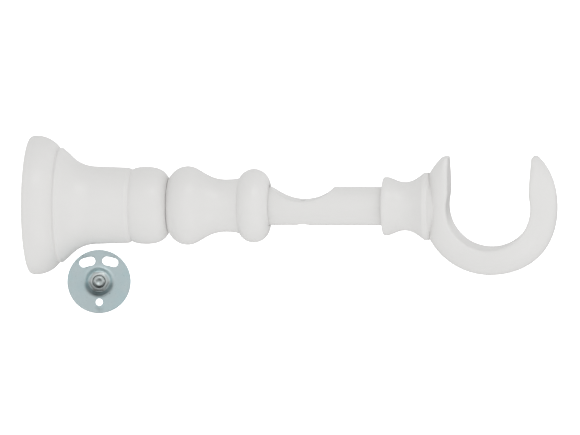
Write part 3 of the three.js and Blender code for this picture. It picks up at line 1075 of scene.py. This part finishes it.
@dataclass
class Stem:
    """The vase-shaped spindle with the arm's bore."""

    span: Span = field(default_factory=lambda: Span.of("spindle"))
    insert: Span = field(default_factory=lambda: Span.of("clamp_insert"))
    grub: Span = field(default_factory=lambda: Span.of("clamp_screw"))
    dowel: Span = field(default_factory=lambda: Span.of("arm_dowel"))
    screw: Span = field(default_factory=lambda: Span.of("joint_screw"))
    seam_radius: float = 11.5
    seam_take_up: float = 0.1
    swell_rise: float = 8.1
    swell_fall: float = 16.5
    waist_radius: float = 11.35
    waist_length: float = 5.9
    waist_flare: float = 0.65
    bead_round: float = 6.9
    mouth_land: float = 0.34
    bore_gap: float = 0.3
    fit: float = 0.15
    grub_pitch: float = 0.5
    grub_thread_depth: float = 0.22
    key_corner: float = 0.87
    key_depth: float = 2.0
    knurl_places: tuple[float, ...] = (0.3, 0.55, 0.8)
    knurl_depth: float = 0.3
    knurl_mouth: float = 0.35
    knurl_floor: float = 0.15
    sanding: float = 0.3

    @property
    def bore(self) -> float:
        """The bore's radius."""
        return self.dowel.radius + self.bore_gap

    def wood_outline(self) -> list[Point]:
        """Draws the spindle, from the joint screw's pocket, over the outside, to the bore's floor.

        Returns:
            The outline's points, with sanded corners.
        """
        start, end, swell = self.span.start - self.seam_take_up, self.span.end, self.span.radius
        core = self.bore + self.mouth_land
        foot = self.waist_radius + self.waist_flare
        pocket = self.screw.radius + self.fit
        crest = self.span.start + self.swell_rise
        waist = crest + self.swell_fall
        bead = waist + self.waist_length
        lean = math.acos((foot - core) / self.bead_round)
        line = Outline(self.screw.end + self.fit, 0.0)
        line.line((self.screw.end + self.fit, pocket), (start, pocket), (start, self.seam_radius))
        line.curve((start + 0.15 * self.swell_rise, self.seam_radius + 2.7),
                   (start + 0.5 * self.swell_rise, swell), (crest, swell), 30)
        line.curve((crest + 0.33 * self.swell_fall, swell),
                   (crest + 0.48 * self.swell_fall, self.waist_radius), (waist, self.waist_radius), 40)
        line.curve((waist + 0.4 * self.waist_length, self.waist_radius),
                   (waist + 0.75 * self.waist_length, self.waist_radius + 0.2), (bead, foot), 12)
        line.arc((end - self.bead_round, core), self.bead_round, -lean, math.pi / 2, 44)
        line.line((end, self.bore), (self.dowel.start - self.bore_gap, self.bore),
                  (self.dowel.start - self.bore_gap, 0.0))
        return line.softened(self.sanding)

    def build_wood(self) -> bpy.types.Object:
        """Turns the spindle and drills the clamp insert's hole from below.

        Returns:
            The new object.
        """
        wood = turned("spindle_wood", self.wood_outline(), WOOD_SIDES)
        radius = (self.insert.high.y - self.insert.low.y) / 2 + self.fit
        lowest = -self.bore - self.mouth_land - self.bead_round - 2
        highest = -self.bore + 1.5
        hole = [(lowest, 0.0), (lowest, radius), (highest, radius), (highest, 0.0)]
        drill = turned("drill", hole, 48, Axis.UP, centre=(self.insert.middle, 0.0))
        carve(wood, [drill])
        dress(wood, WHITE.material(Grain.ALONG, 1.7), "stem", "spindle")
        return wood

    def upright_thread(self, name: str, low: float, high: float, crest: float, root: float,
                       steps: int = 8) -> list[list[Vector]]:
        """Rings of a thread that stands upright at the insert's station."""
        rings = threaded(name, low, high, lambda z: crest, lambda z: root, self.grub_pitch, 48, steps)
        return upright(rings, self.insert.middle)

    def upright_ring(self, height: float, radius: float) -> list[Vector]:
        """A plain ring that stands upright at the insert's station."""
        return upright([plain_ring(height, radius)], self.insert.middle)[0]

    def build_insert(self) -> bpy.types.Object:
        """Makes the clamp's brass insert: knurl grooves outside, an M3 thread inside.

        Returns:
            The new object.
        """
        low, high = self.insert.low.z, self.insert.high.z
        radius = (self.insert.high.y - self.insert.low.y) / 2
        bore = (self.grub.high.y - self.grub.low.y) / 2 + self.fit
        floor = radius - self.knurl_depth
        rings = [self.upright_ring(low, bore + 0.35), self.upright_ring(low, radius - 0.3),
                 self.upright_ring(low + 0.3, radius)]
        for place in self.knurl_places:
            z = low + place * (high - low)
            rings += [self.upright_ring(z - self.knurl_mouth, radius),
                      self.upright_ring(z - self.knurl_floor, floor),
                      self.upright_ring(z + self.knurl_floor, floor),
                      self.upright_ring(z + self.knurl_mouth, radius)]
        rings += [self.upright_ring(high, radius - 0.2), self.upright_ring(high, bore)]
        rings += reversed(self.upright_thread("clamp insert", low + 0.5, high - 0.2, bore + 0.05, bore - 0.1))
        piece = loft("clamp_insert_brass", rings, True, 50)
        dress(piece, BRASS.material(0.8), "stem", "clamp_insert")
        return piece

    def build_grub(self) -> bpy.types.Object:
        """Makes the grub screw: a cup point above, a hexagon socket below.

        Returns:
            The new object.
        """
        low, high = self.grub.low.z, self.grub.high.z
        radius = (self.grub.high.y - self.grub.low.y) / 2
        rings = [self.upright_ring(low, radius - 0.35),
                 *self.upright_thread("grub screw", low + 0.25, high - 0.5, radius,
                                      radius - self.grub_thread_depth),
                 self.upright_ring(high, radius - 0.55), self.upright_ring(high - 0.3, radius - 1.0)]
        piece = loft("clamp_grub_screw", rings, False, 50)
        corners = [(self.grub.middle + self.key_corner * math.cos(i * math.pi / 3),
                    self.key_corner * math.sin(i * math.pi / 3)) for i in range(6)]
        carve(piece, [prism("key", corners, low - 1, low + self.key_depth)], 50)
        dress(piece, BRIGHT_STEEL.material(3.3), "clamp", "clamp_screw")
        return piece

    def build(self) -> None:
        """Builds and dresses every piece of the stem."""
        self.build_wood()
        self.build_insert()
        self.build_grub()


# ---------------------------------------------------------------------------------------------
# Arm: the notched dowel, the ferrule, the pin and the open ring
# ---------------------------------------------------------------------------------------------


def soft_max(first: float, second: float, reach: float) -> float:
    """The larger of two values, with the corner between them rounded over a reach."""
    near = max(reach - abs(first - second), 0.0) / reach
    return max(first, second) + near * near * reach / 4


def soft_min(first: float, second: float, reach: float) -> float:
    """The smaller of two values, with the corner between them rounded over a reach."""
    return -soft_max(-first, -second, reach)


@dataclass
class Arm:
    """The sliding dowel with the rear rod's seat, and the ferrule and pin on its end."""

    dowel: Span = field(default_factory=lambda: Span.of("arm_dowel"))
    collar: Span = field(default_factory=lambda: Span.of("ferrule"))
    pin: Span = field(default_factory=lambda: Span.of("head_pin"))
    stem: Span = field(default_factory=lambda: Span.of("spindle"))
    seat_radius: float = 18.0
    seat_reach: float = 14.4
    seat_floor: float = 2.4
    rounding: float = 0.7
    lip_rounding: float = 1.3
    chamfer: float = 0.8
    screw_head: float = 3.15
    screw_head_depth: float = 3.4
    screw_shank: float = 1.1
    fit: float = 0.15
    ferrule_lip: float = 12.6
    ferrule_waist: float = 10.5
    shoulder_run: float = 3.4
    shoulder_radius: float = 8.6
    sanding: float = 0.35
    dowel_sides: int = 120
    flutes: int = 24
    flute_depth: float = 0.05
    pin_chamfer: Point = (1.2, 0.72)

    @property
    def seat(self) -> float:
        """The station of the rear rod's centre."""
        return self.stem.end + self.seat_reach

    def top(self, along: float) -> float:
        """The height that the dowel may reach: the rear seat's floor, with round lips.

        Args:
            along: the station.

        Returns:
            The height above the dowel's axis.
        """
        off = abs(along - self.seat)
        centre = self.seat_floor + self.seat_radius
        limit = self.dowel.radius + 1.0
        if off >= self.seat_radius:
            return limit
        return soft_min(centre - math.sqrt(self.seat_radius ** 2 - off ** 2), limit, self.lip_rounding)

    def build_dowel(self) -> bpy.types.Object:
        """Skins the dowel ring by ring, each ring trimmed to the rear seat, and drills its holes.

        Returns:
            The new object.
        """
        radius, start, end = self.dowel.radius, self.dowel.start, self.dowel.end
        half = self.seat_radius * 0.9
        fine = [self.seat - half + 2 * half * i / 96 for i in range(97)]
        stations = [start, start + 0.3 * self.chamfer, start + self.chamfer]
        stations += [x for x in fine if x > start + 2 * self.chamfer]
        stations += [fine[-1] + (end - fine[-1]) * i / 8 for i in range(1, 9)]
        rings = []
        for x in stations:
            narrow = max(0.0, self.chamfer - (x - start))
            reach = radius - narrow
            ring = []
            for j in range(self.dowel_sides):
                angle = 2 * math.pi * j / self.dowel_sides
                height = soft_min(reach * math.sin(angle), self.top(x), self.rounding)
                ring.append(Vector((x, reach * math.cos(angle), height)))
            rings.append(ring)
        piece = loft("arm_dowel_wood", rings, False, 50)
        low, neck = -radius, -radius + self.screw_head_depth
        head = [(low - 1, 0.0), (low - 1, self.screw_head), (neck - 0.9, self.screw_head),
                (neck, self.screw_shank), (self.seat_floor + 1, self.screw_shank), (self.seat_floor + 1, 0.0)]
        carve(piece, [turned("drill", head, 48, Axis.UP, centre=(self.seat, 0.0))], 50)
        dress(piece, WHITE.material(Grain.ALONG, 3.1), "arm", "arm_dowel")
        return piece

    def build_ferrule(self) -> bpy.types.Object:
        """Turns the ferrule: a rolled lip, a waist, a flare to the land, and a shoulder let into the ring.

        Returns:
            The new object.
        """
        start, end, land, length = self.collar.start, self.collar.end, self.collar.radius, self.collar.length
        socket, hole = self.dowel.radius + 0.02, self.pin.high.y + self.fit
        waist = start + 0.47 * length
        flare_end = end - 0.105 * length
        lip_end = start + 0.11 * length
        line = Outline(start, socket)
        line.line((start, self.ferrule_lip - 1.3))
        line.curve((start, self.ferrule_lip - 0.3), (start + 0.5, self.ferrule_lip),
                   (start + 0.07 * length, self.ferrule_lip), 14)
        line.line((lip_end, self.ferrule_lip))
        line.curve((lip_end + 2.6, self.ferrule_lip - 0.6), (waist - 2.8, self.ferrule_waist),
                   (waist, self.ferrule_waist), 26)
        line.curve((waist + 3.6, self.ferrule_waist), (flare_end - 2.6, land - 2),
                   (flare_end, land - 0.05), 26)
        line.line((end - 0.3, land))
        line.curve((end + 0.3, land), (end + 0.9, land - 3.0),
                   (end + self.shoulder_run, self.shoulder_radius), 18)
        line.line((end + self.shoulder_run, hole), (self.dowel.end + self.fit, hole),
                  (self.dowel.end + self.fit, socket))
        piece = turned("ferrule_wood", line.softened(self.sanding), closed=True)
        dress(piece, WHITE.material(Grain.ALONG, 4.9), "arm", "ferrule")
        return piece

    def build_pin(self) -> bpy.types.Object:
        """Makes the fluted beech pin, with its chamfered ends.

        Returns:
            The new object.
        """
        start, end = self.pin.start, self.pin.end
        radius = (self.pin.high.y - self.pin.low.y) / 2
        sides = 4 * self.flutes
        rings = []
        run, narrow = self.pin_chamfer
        profile = ((start, narrow), (start + run, 1.0), (self.pin.middle, 1.0),
                   (end - run, 1.0), (end, narrow))
        for x, share in profile:
            ring = []
            for j in range(sides):
                angle = 2 * math.pi * j / sides
                flute = self.flute_depth * (1 - math.cos(self.flutes * angle))
                reach = radius * share * (1 - flute)
                ring.append(Vector((x, reach * math.cos(angle), reach * math.sin(angle))))
            rings.append(ring)
        piece = loft("head_pin_beech", rings, False, 60)
        dress(piece, BEECH.material(Grain.ALONG, 0.5), "arm", "head_pin")
        return piece

    def build(self) -> None:
        """Builds and dresses every piece of the arm but the ring."""
        self.build_dowel()
        self.build_ferrule()
        self.build_pin()


@dataclass
class Ring:
    """The front rod's open ring: a crowned band, cut open above with two catching lips."""

    span: Span = field(default_factory=lambda: Span.of("ring"))
    collar: Span = field(default_factory=lambda: Span.of("ferrule"))
    seat_radius: float = 18.0
    wall: float = 11.5
    edge: float = 1.2
    edge_run: float = 1.3
    crown: float = 0.62
    lip_catch: float = 0.75
    lip_rounding: float = 0.6
    rear_draft: float = 0.7
    front_draft: float = 3.4
    tip_rounding: float = 0.5
    most_shrink: float = 0.8
    wall_steps: int = 10
    edge_steps: int = 6
    crown_steps: int = 22
    tip_steps: int = 8
    limb_steps: int = 44
    turn_steps: int = 130
    shoulder_fullness: float = 0.7

    @property
    def outer(self) -> float:
        """The ring's largest radius."""
        return self.seat_radius + self.wall

    @property
    def centre(self) -> float:
        """The station of the ring's centre."""
        return self.span.end - self.outer

    @property
    def half(self) -> float:
        """Half of the ring's thickness."""
        return self.span.radius

    @property
    def face(self) -> float:
        """The radius where the inner edge's rounding meets the face."""
        return self.seat_radius + self.edge_run * self.edge

    def crown_at(self, share: float) -> Point:
        """Finds a point of the crown.

        Args:
            share: the point's place, from the crown's face (0) to its crest (1).

        Returns:
            The point's radius and half thickness.
        """
        corners = ((self.face, self.half), (self.face + 0.5 * self.wall, self.half),
                   (self.outer, self.crown * self.half), (self.outer, 0.0))
        return cubic(corners, share)

    def crown_from(self, radius: float) -> float:
        """Finds the crown's place by its radius.

        Args:
            radius: the radius to look for.

        Returns:
            The share along the crown that has this radius.
        """
        low, high = 0.0, 1.0
        for _ in range(40):
            middle = (low + high) / 2
            low, high = (middle, high) if self.crown_at(middle)[0] < radius else (low, middle)
        return low

    def section(self, wall_radius: float) -> list[Point]:
        """The (radius, y) loop of the band outside a wall.

        Args:
            wall_radius: the distance of the inner wall from the ring's axis.

        Returns:
            The loop, from the wall's near edge to its far edge and back over the crown.
        """
        room = self.outer - wall_radius
        edge = min(self.edge, 0.3 * room)
        first = self.crown_from(wall_radius + self.edge_run * edge)
        face, thick = self.crown_at(first)
        side = [(wall_radius, (thick - edge) * i / self.wall_steps) for i in range(self.wall_steps + 1)]
        for i in range(1, self.edge_steps + 1):
            t = i / self.edge_steps
            radius = wall_radius * (1 - t) ** 2 + (wall_radius + 0.15 * edge) * 2 * t * (1 - t) + face * t * t
            y = (thick - edge) * (1 - t) ** 2 + thick * 2 * t * (1 - t) + thick * t * t
            side.append((radius, y))
        shares = [first + (1 - first) * i / self.crown_steps for i in range(1, self.crown_steps + 1)]
        side += [self.crown_at(share) for share in shares]
        return [*side, *[(r, -y) for r, y in reversed(side[1:-1])]]

    def wall_at(self, height: float, draft: float) -> float:
        """How far the wall of the mouth stands from the ring's middle plane.

        Args:
            height: the height above the ring's centre.
            draft: how far the limb's wall leans, in degrees.

        Returns:
            The distance along X.
        """
        lip = self.seat_radius - self.lip_catch
        lip_height = math.sqrt(self.seat_radius ** 2 - lip ** 2)
        straight = lip + (height - lip_height) * math.tan(math.radians(draft))
        round_part = math.sqrt(max(0.0, self.seat_radius ** 2 - height ** 2))
        return soft_max(straight, round_part, self.lip_rounding)

    def limb(self, side: float, draft: float) -> list[list[Vector]]:
        """The level rings of one limb, from its tip down to the middle.

        Args:
            side: 1 for the front limb, -1 for the rear one.
            draft: how far the limb's wall leans, in degrees.

        Returns:
            The rings.
        """
        tip = self.span.high.z
        turns = [math.pi / 2 * i / self.tip_steps for i in range(self.tip_steps)]
        heights = [tip - self.tip_rounding * (1 - math.cos(turn)) for turn in turns]
        heights += [(tip - self.tip_rounding) * (1 - i / self.limb_steps) for i in range(self.limb_steps)]
        rings = []
        for height in heights:
            wall = self.wall_at(height, draft)
            loop = self.section(math.hypot(wall, height))
            ring = [Vector((math.sqrt(max(r * r - height * height, wall * wall)), y, 0)) for r, y in loop]
            into = max(0.0, height - (tip - self.tip_rounding)) / self.tip_rounding
            inset = self.tip_rounding * (1 - math.sqrt(max(0.0, 1 - into * into)))
            near, far = min(p.x for p in ring), max(p.x for p in ring)
            wide = max(p.y for p in ring)
            middle = (near + far) / 2
            shrink = 1 - min(self.most_shrink, inset / ((far - near) / 2))
            flat = 1 - min(self.most_shrink, inset / wide)
            line = [(middle + (p.x - middle) * shrink, p.y * flat) for p in ring]
            rings.append([Vector((self.centre + side * x, y, height)) for x, y in line])
        return rings

    def fuller(self, point: Vector) -> Vector:
        """Moves a point of the front half outwards a little, most on the diagonals, as the ring is carved.

        Args:
            point: a point of the ring.

        Returns:
            The moved point; one of the rear half comes back as it was.
        """
        across, up = point.x - self.centre, point.z
        away = math.hypot(across, up)
        wall = math.hypot(self.wall_at(max(0.0, up), self.front_draft), max(0.0, up))
        outward = max(0.0, away - wall) / (self.outer - wall)
        if across <= 0:
            return point
        diagonal = (2 * across * up / away ** 2) ** 2 - 0.5 * (across / away) ** 8
        push = self.shoulder_fullness * outward * diagonal
        return point + Vector((across, 0.0, up)) * (push / away)

    def build(self) -> bpy.types.Object:
        """Skins the ring from the front tip, round below the rod, to the rear tip.

        Returns:
            The new object.
        """
        rings = self.limb(1.0, self.front_draft)
        loop = self.section(self.seat_radius)
        for i in range(self.turn_steps + 1):
            angle = -math.pi * i / self.turn_steps
            across, up = math.cos(angle), math.sin(angle)
            rings.append([Vector((self.centre + r * across, y, r * up)) for r, y in loop])
        rings += reversed(self.limb(-1.0, self.rear_draft))
        rings = [[self.fuller(point) for point in ring] for ring in rings]
        for ring in rings:
            for point in ring:
                point.x = max(point.x, self.collar.end)
        piece = loft("ring_wood", rings, False, 40)
        dress(piece, WHITE.material(Grain.UPRIGHT, 6.2), "arm", "ring")
        return piece


# ---------------------------------------------------------------------------------------------
# Wall plate: the zinc disc with its raised boss, the M5 stud and the hexagon nut
# ---------------------------------------------------------------------------------------------


@dataclass
class WallPlate:
    """The loose wall plate, drawn with its wall side at z = 0 and its stud along +Z."""

    turning: dict = field(default_factory=lambda: joint("nut_turn"))
    plate_radius: float = 13.72
    sheet: float = 1.2
    boss_foot: float = 6.0
    boss_top: float = 4.9
    boss_height: float = 3.6
    foot_fillet: float = 1.5
    stud_hole: float = 2.75
    slot_reach: float = 20.5
    slot_drop: float = 11.4
    slot_half: float = 1.85
    slot_angles: Point = (9.5, 18.5)
    hole_reach: float = 8.9
    hole_radius: float = 1.5
    head_radius: float = 4.0
    stud_radius: float = 2.47
    stud_reach: float = 10.0
    thread_pitch: float = 0.8
    thread_depth: float = 0.42
    dimple: float = 1.3
    nut_flats: float = 8.0
    nut_face: float = 0.88
    nut_height: float = 4.0
    nut_chamfer: tuple[float, ...] = (0.0, 0.06, 0.14, 0.24, 0.36, 0.5, 1.0)
    nut_sides: int = 96
    gap: float = 0.3

    def placed(self, piece: bpy.types.Object) -> bpy.types.Object:
        """Moves a piece from the plate's own drawing to where the loose plate stands.

        Args:
            piece: the piece, as drawn.

        Returns:
            The same piece.
        """
        out = Vector(self.turning["axis"]).normalized()
        up = (Vector((0, 0, 1)) - out * out.z).normalized()
        across = up.cross(out)
        turn = Matrix((across, up, out)).transposed().to_4x4()
        piece.data.transform(Matrix.Translation(Vector(self.turning["pos_m"])) @ turn)
        return piece

    def slot_outline(self, side: int) -> list[Point]:
        """Draws one curved slot, with round ends.

        Args:
            side: 1 or -1, for the slot on either side of the middle.

        Returns:
            The outline's (x, y) points.
        """
        first, last = (math.radians(90 - side * a) for a in self.slot_angles)
        turn = math.copysign(math.pi, last - first)
        centre = (0.0, -self.slot_drop)
        ends = [(self.slot_reach * math.cos(a), self.slot_reach * math.sin(a) - self.slot_drop)
                for a in (first, last)]
        return [*sweep(centre, self.slot_reach + self.slot_half, first, last),
                *sweep(ends[1], self.slot_half, last, last + turn, 14)[1:-1],
                *sweep(centre, self.slot_reach - self.slot_half, last, first),
                *sweep(ends[0], self.slot_half, first + math.pi, first + math.pi + turn, 14)[1:-1]]

    def build_disc(self) -> bpy.types.Object:
        """Presses the disc with its boss, and punches the two slots and the round hole.

        Returns:
            The new object.
        """
        ceiling, edge = self.boss_height - self.sheet, 0.25
        line = Outline(ceiling, self.stud_hole)
        line.line((ceiling, self.boss_top - 1.0))
        line.curve((ceiling, self.boss_top - 0.2), (0.6, self.boss_top), (0.0, self.boss_top + 0.5), 12)
        line.line((0.0, self.plate_radius - edge))
        line.curve((0.0, self.plate_radius), (0.0, self.plate_radius), (edge, self.plate_radius), 5)
        line.line((self.sheet - 0.3, self.plate_radius))
        line.curve((self.sheet, self.plate_radius), (self.sheet, self.plate_radius),
                   (self.sheet, self.plate_radius - 0.35), 6)
        line.line((self.sheet, self.boss_foot + self.foot_fillet))
        line.curve((self.sheet, self.boss_foot + 0.4), (self.sheet + 0.1, self.boss_foot - 0.1),
                   (self.sheet + 1.1, self.boss_top + 0.45), 16)
        line.curve((self.boss_height - 0.45, self.boss_top + 0.1), (self.boss_height, self.boss_top - 0.25),
                   (self.boss_height, self.boss_top - 0.8), 12)
        line.line((self.boss_height, self.stud_hole))
        disc = turned("plate_disc", line.points, 192, Axis.UP, closed=True)
        hole = sweep((0.0, -self.hole_reach), self.hole_radius, 0.0, 2 * math.pi, 40)[:-1]
        cutters = [prism("slot", self.slot_outline(side), -2, 4) for side in (1, -1)]
        carve(disc, [*cutters, prism("hole", hole, -2, 4)], 40)
        self.placed(disc)
        dress(disc, BLUE_ZINC.material(0.4), "plate", "wall_plate")
        return disc

    def build_stud(self) -> bpy.types.Object:
        """Makes the stud: its flat head behind the boss, its rolled thread and its dimpled end.

        Returns:
            The new object.
        """
        head = self.boss_height - self.sheet - self.gap
        tip = self.boss_height + self.nut_height + self.stud_reach
        radius = self.stud_radius

        def crest(z: float) -> float:
            """The crest's radius, which runs in towards the tip."""
            return min(radius, radius - 0.45 + 0.9 * (tip - z - 0.5))

        thread = threaded("stud", head + 0.4, tip - 0.55, crest, lambda z: radius - self.thread_depth,
                          self.thread_pitch, 48, 10)
        rings = [plain_ring(self.gap, self.head_radius - 0.3), plain_ring(self.gap + 0.25, self.head_radius),
                 plain_ring(head - 0.2, self.head_radius), plain_ring(head, self.head_radius - 0.25),
                 plain_ring(head, radius), *thread, plain_ring(tip - 0.3, radius - 0.4),
                 plain_ring(tip - 0.05, radius - 0.6), plain_ring(tip, radius - 0.72),
                 plain_ring(tip, self.dimple), plain_ring(tip - 0.15, self.dimple - 0.25),
                 plain_ring(tip - 0.5, 0.5)]
        piece = loft("stud_m5", upright(rings), False, 40)
        self.placed(piece)
        dress(piece, BRIGHT_ZINC.material(5.1), "plate", "plate_stud")
        return piece

    def nut_ring(self, height: float, low: float, high: float) -> list[Vector]:
        """Draws one ring of the nut's outside: a hexagon, trimmed by the chamfer's cone near both faces.

        Args:
            height: the ring's height.
            low: the height of the nut's lower face.
            high: the height of its upper face.

        Returns:
            The ring.
        """
        ring = []
        cone = self.nut_flats / 2 * self.nut_face + min(height - low, high - height) * math.sqrt(3)
        for j in range(self.nut_sides):
            angle = 2 * math.pi * j / self.nut_sides
            away = (angle % (math.pi / 3)) - math.pi / 6
            radius = soft_min(self.nut_flats / 2 / math.cos(away), cone, 0.08)
            ring.append(Vector((radius * math.cos(angle), radius * math.sin(angle), height)))
        return ring

    def build_nut(self) -> bpy.types.Object:
        """Makes the nut, chamfered on both faces and threaded right through.

        Returns:
            The new object.
        """
        low = self.boss_height + self.gap
        high = low + self.nut_height
        bore = self.stud_radius + 0.03
        levels = [low + h for h in self.nut_chamfer] + [high - h for h in reversed(self.nut_chamfer)]
        inside = threaded("nut", low + 0.35, high - 0.35, lambda z: bore + 0.25, lambda z: bore - 0.02,
                          self.thread_pitch, self.nut_sides, 10)
        mouth = [plain_ring(face, bore + 0.35, self.nut_sides) for face in (low, high)]
        rings = upright(mouth[:1])
        rings += [self.nut_ring(z, low, high) for z in levels]
        rings += upright([mouth[1], *reversed(inside)])
        piece = loft("nut_m5", rings, True, 35)
        self.placed(piece)
        dress(piece, BRIGHT_ZINC.material(7.3), "nut", "plate_nut")
        return piece

    def build(self) -> None:
        """Builds and dresses the plate's pieces."""
        self.build_disc()
        self.build_stud()
        self.build_nut()


# ---------------------------------------------------------------------------------------------
# Studio: floor, surroundings, softboxes and camera
# ---------------------------------------------------------------------------------------------


def direction(azimuth: float, elevation: float) -> Vector:
    """The direction at an azimuth (0 in front, 90 to the right) and an elevation, in degrees."""
    a, e = math.radians(azimuth), math.radians(elevation)
    return Vector((math.sin(a) * math.cos(e), -math.cos(a) * math.cos(e), math.sin(e)))


@dataclass(frozen=True)
class Softbox:
    """A large diffused lamp that faces the bracket; lengths in metres, power in watts."""

    name: str
    azimuth: float
    elevation: float
    distance: float
    width: float
    height: float
    power: float

    def build(self, centre: Vector) -> bpy.types.Object:
        """Hangs the lamp round a centre and turns it to face that centre.

        Args:
            centre: the point that the lamp faces.

        Returns:
            The lamp's object.
        """
        lamp = bpy.data.lights.new(self.name, "AREA")
        lamp.shape = "RECTANGLE"
        lamp.size, lamp.size_y = self.width, self.height
        lamp.energy = self.power
        holder = bpy.data.objects.new(self.name, lamp)
        back = direction(self.azimuth, self.elevation)
        holder.location = centre + back * self.distance
        holder.rotation_euler = (-back).to_track_quat("-Z", "Y").to_euler()
        holder.visible_camera = False
        bpy.context.scene.collection.objects.link(holder)
        return holder


@dataclass
class Studio:
    """The pale floor, the even surroundings, the lamps and the camera."""

    floor_drop: float = 1.2
    floor_size: float = 80.0
    floor_tone: float = 0.62
    floor_mirrored: float = 0.34
    floor_glow: float = 0.50
    # Inner and outer edge of the painted dark reflection that the floor shows to glossy rays under the
    # bracket.
    dark_reflection_edge: Point = (0.7, 1.6)
    surround_tone: float = 0.76
    backdrop_tone: float = 1.0
    azimuth: float = 7.0
    elevation: float = 6.0
    roll: float = -0.52
    distance: float = 2.8
    lens: float = 404.8
    aim: Point = (112.3, -5.05)
    softboxes: tuple[Softbox, ...] = (
        Softbox("key_high", 34.0, 50.0, 1.6, 0.9, 0.55, 3.0),
        Softbox("key_low", 34.0, -34.0, 1.6, 0.9, 0.55, 0.8),
        Softbox("front_fill", 10.0, 4.0, 3.4, 2.2, 2.2, 1.6),
        Softbox("side_fill", 112.0, 2.0, 1.8, 0.8, 0.8, 0.9),
    )

    def split_tone(self, graph: Graph, seen: float, lit: float, ray: str) -> bpy.types.NodeSocket:
        """A tone that differs between one kind of ray and all the others.

        Args:
            graph: the graph to add to.
            seen: the tone for that kind of ray.
            lit: the tone for the others.
            ray: the kind, as the Light Path node names it.

        Returns:
            The tone.
        """
        asked = graph.add("LightPath").outputs[ray]
        return graph.math("ADD", graph.math("MULTIPLY", asked, seen - lit), lit)

    def build_floor(self) -> bpy.types.Object:
        """Lays a wide, pale floor well below the bracket: white to the camera, glowing for the light it
        bounces, and dark under the bracket in reflections only, as a painted dark reflection for the metal.

        Returns:
            The new object.
        """
        half, low = self.floor_size / 2 / MM, -self.floor_drop / MM
        square = ((-half, -half), (half, -half), (half, half), (-half, half))
        corners = [Vector((x, y, low)) for x, y in square]
        floor = finish_mesh("studio_floor", corners, [(0, 1, 2, 3)])
        material, graph, shader = new_material("studio_paper")
        bounce = self.split_tone(graph, 0.0, self.floor_glow, "Is Glossy Ray")
        seen = graph.add("LightPath").outputs["Is Camera Ray"]
        glow = graph.math("ADD", bounce, graph.math("MULTIPLY", seen, self.backdrop_tone))
        where = graph.add("TexCoord").outputs["Object"]
        below = Vector((0.0, 0.0, -self.floor_drop))
        away = graph.add("VectorMath", {0: where, 1: below}, operation="DISTANCE")
        # Painted dark reflection: within the inner edge the floor is black to glossy rays alone, so the
        # metal's undersides reflect dark.
        clear_of_dark_reflection = graph.ramp(away.outputs["Value"], *self.dark_reflection_edge)
        glossy = graph.add("LightPath").outputs["Is Glossy Ray"]
        mirrored = graph.math("MULTIPLY", clear_of_dark_reflection, self.floor_mirrored)
        tone = graph.mix(glossy, (self.floor_tone, self.floor_tone, self.floor_tone, 1.0), mirrored)
        feed(graph, shader, Base_Color=tone, Roughness=0.9, Specular_IOR_Level=0.1,
             Emission_Color=(1.0, 1.0, 1.0, 1.0), Emission_Strength=glow)
        floor.data.materials.append(material)
        return floor

    def build_world(self) -> None:
        """Surrounds the bracket with an even tone."""
        world = bpy.data.worlds.new("studio_surround")
        world.use_nodes = True
        world.node_tree.nodes.clear()
        graph = Graph(world.node_tree)
        tone = self.split_tone(graph, self.backdrop_tone, self.surround_tone, "Is Camera Ray")
        light = graph.add("Background", {"Strength": tone})
        light.inputs["Color"].default_value = (1.0, 1.0, 1.0, 1.0)
        graph.add("OutputWorld", {"Surface": light.outputs[0]})
        bpy.context.scene.world = world

    def build_camera(self) -> bpy.types.Object:
        """Stands the camera off to the front, a little to the right and above.

        Returns:
            The camera's object.
        """
        back = direction(self.azimuth, self.elevation)
        right = Vector((math.cos(math.radians(self.azimuth)), math.sin(math.radians(self.azimuth)), 0.0))
        up = back.cross(right)
        roll = math.radians(self.roll)
        across = right * math.cos(roll) + up * math.sin(roll)
        above = up * math.cos(roll) - right * math.sin(roll)
        lens = bpy.data.cameras.new("studio_camera")
        lens.lens = self.lens
        lens.clip_start, lens.clip_end = 0.1, 200.0
        camera = bpy.data.objects.new("studio_camera", lens)
        turn = Matrix((across, above, back)).transposed().to_4x4()
        place = Vector((self.aim[0], 0.0, self.aim[1])) * MM + back * self.distance
        camera.matrix_world = Matrix.Translation(place) @ turn
        bpy.context.scene.collection.objects.link(camera)
        bpy.context.scene.camera = camera
        return camera

    def build(self) -> None:
        """Sets up the whole studio round the bracket."""
        self.build_floor()
        self.build_world()
        centre = (CAD_LOW + CAD_HIGH) / 2
        for softbox in self.softboxes:
            softbox.build(centre)
        self.build_camera()
        bpy.context.scene.view_settings.view_transform = "Standard"


def main() -> None:
    """Builds the bracket's sub-assemblies in order, then the studio round them."""
    logging.basicConfig(level=logging.INFO, format="%(name)s: %(message)s")
    for assembly in (Base(), Stem(), Arm(), Ring(), WallPlate(), Studio()):
        LOG.info("building the %s", type(assembly).__name__)
        assembly.build()


if __name__ == "__main__":
    main()
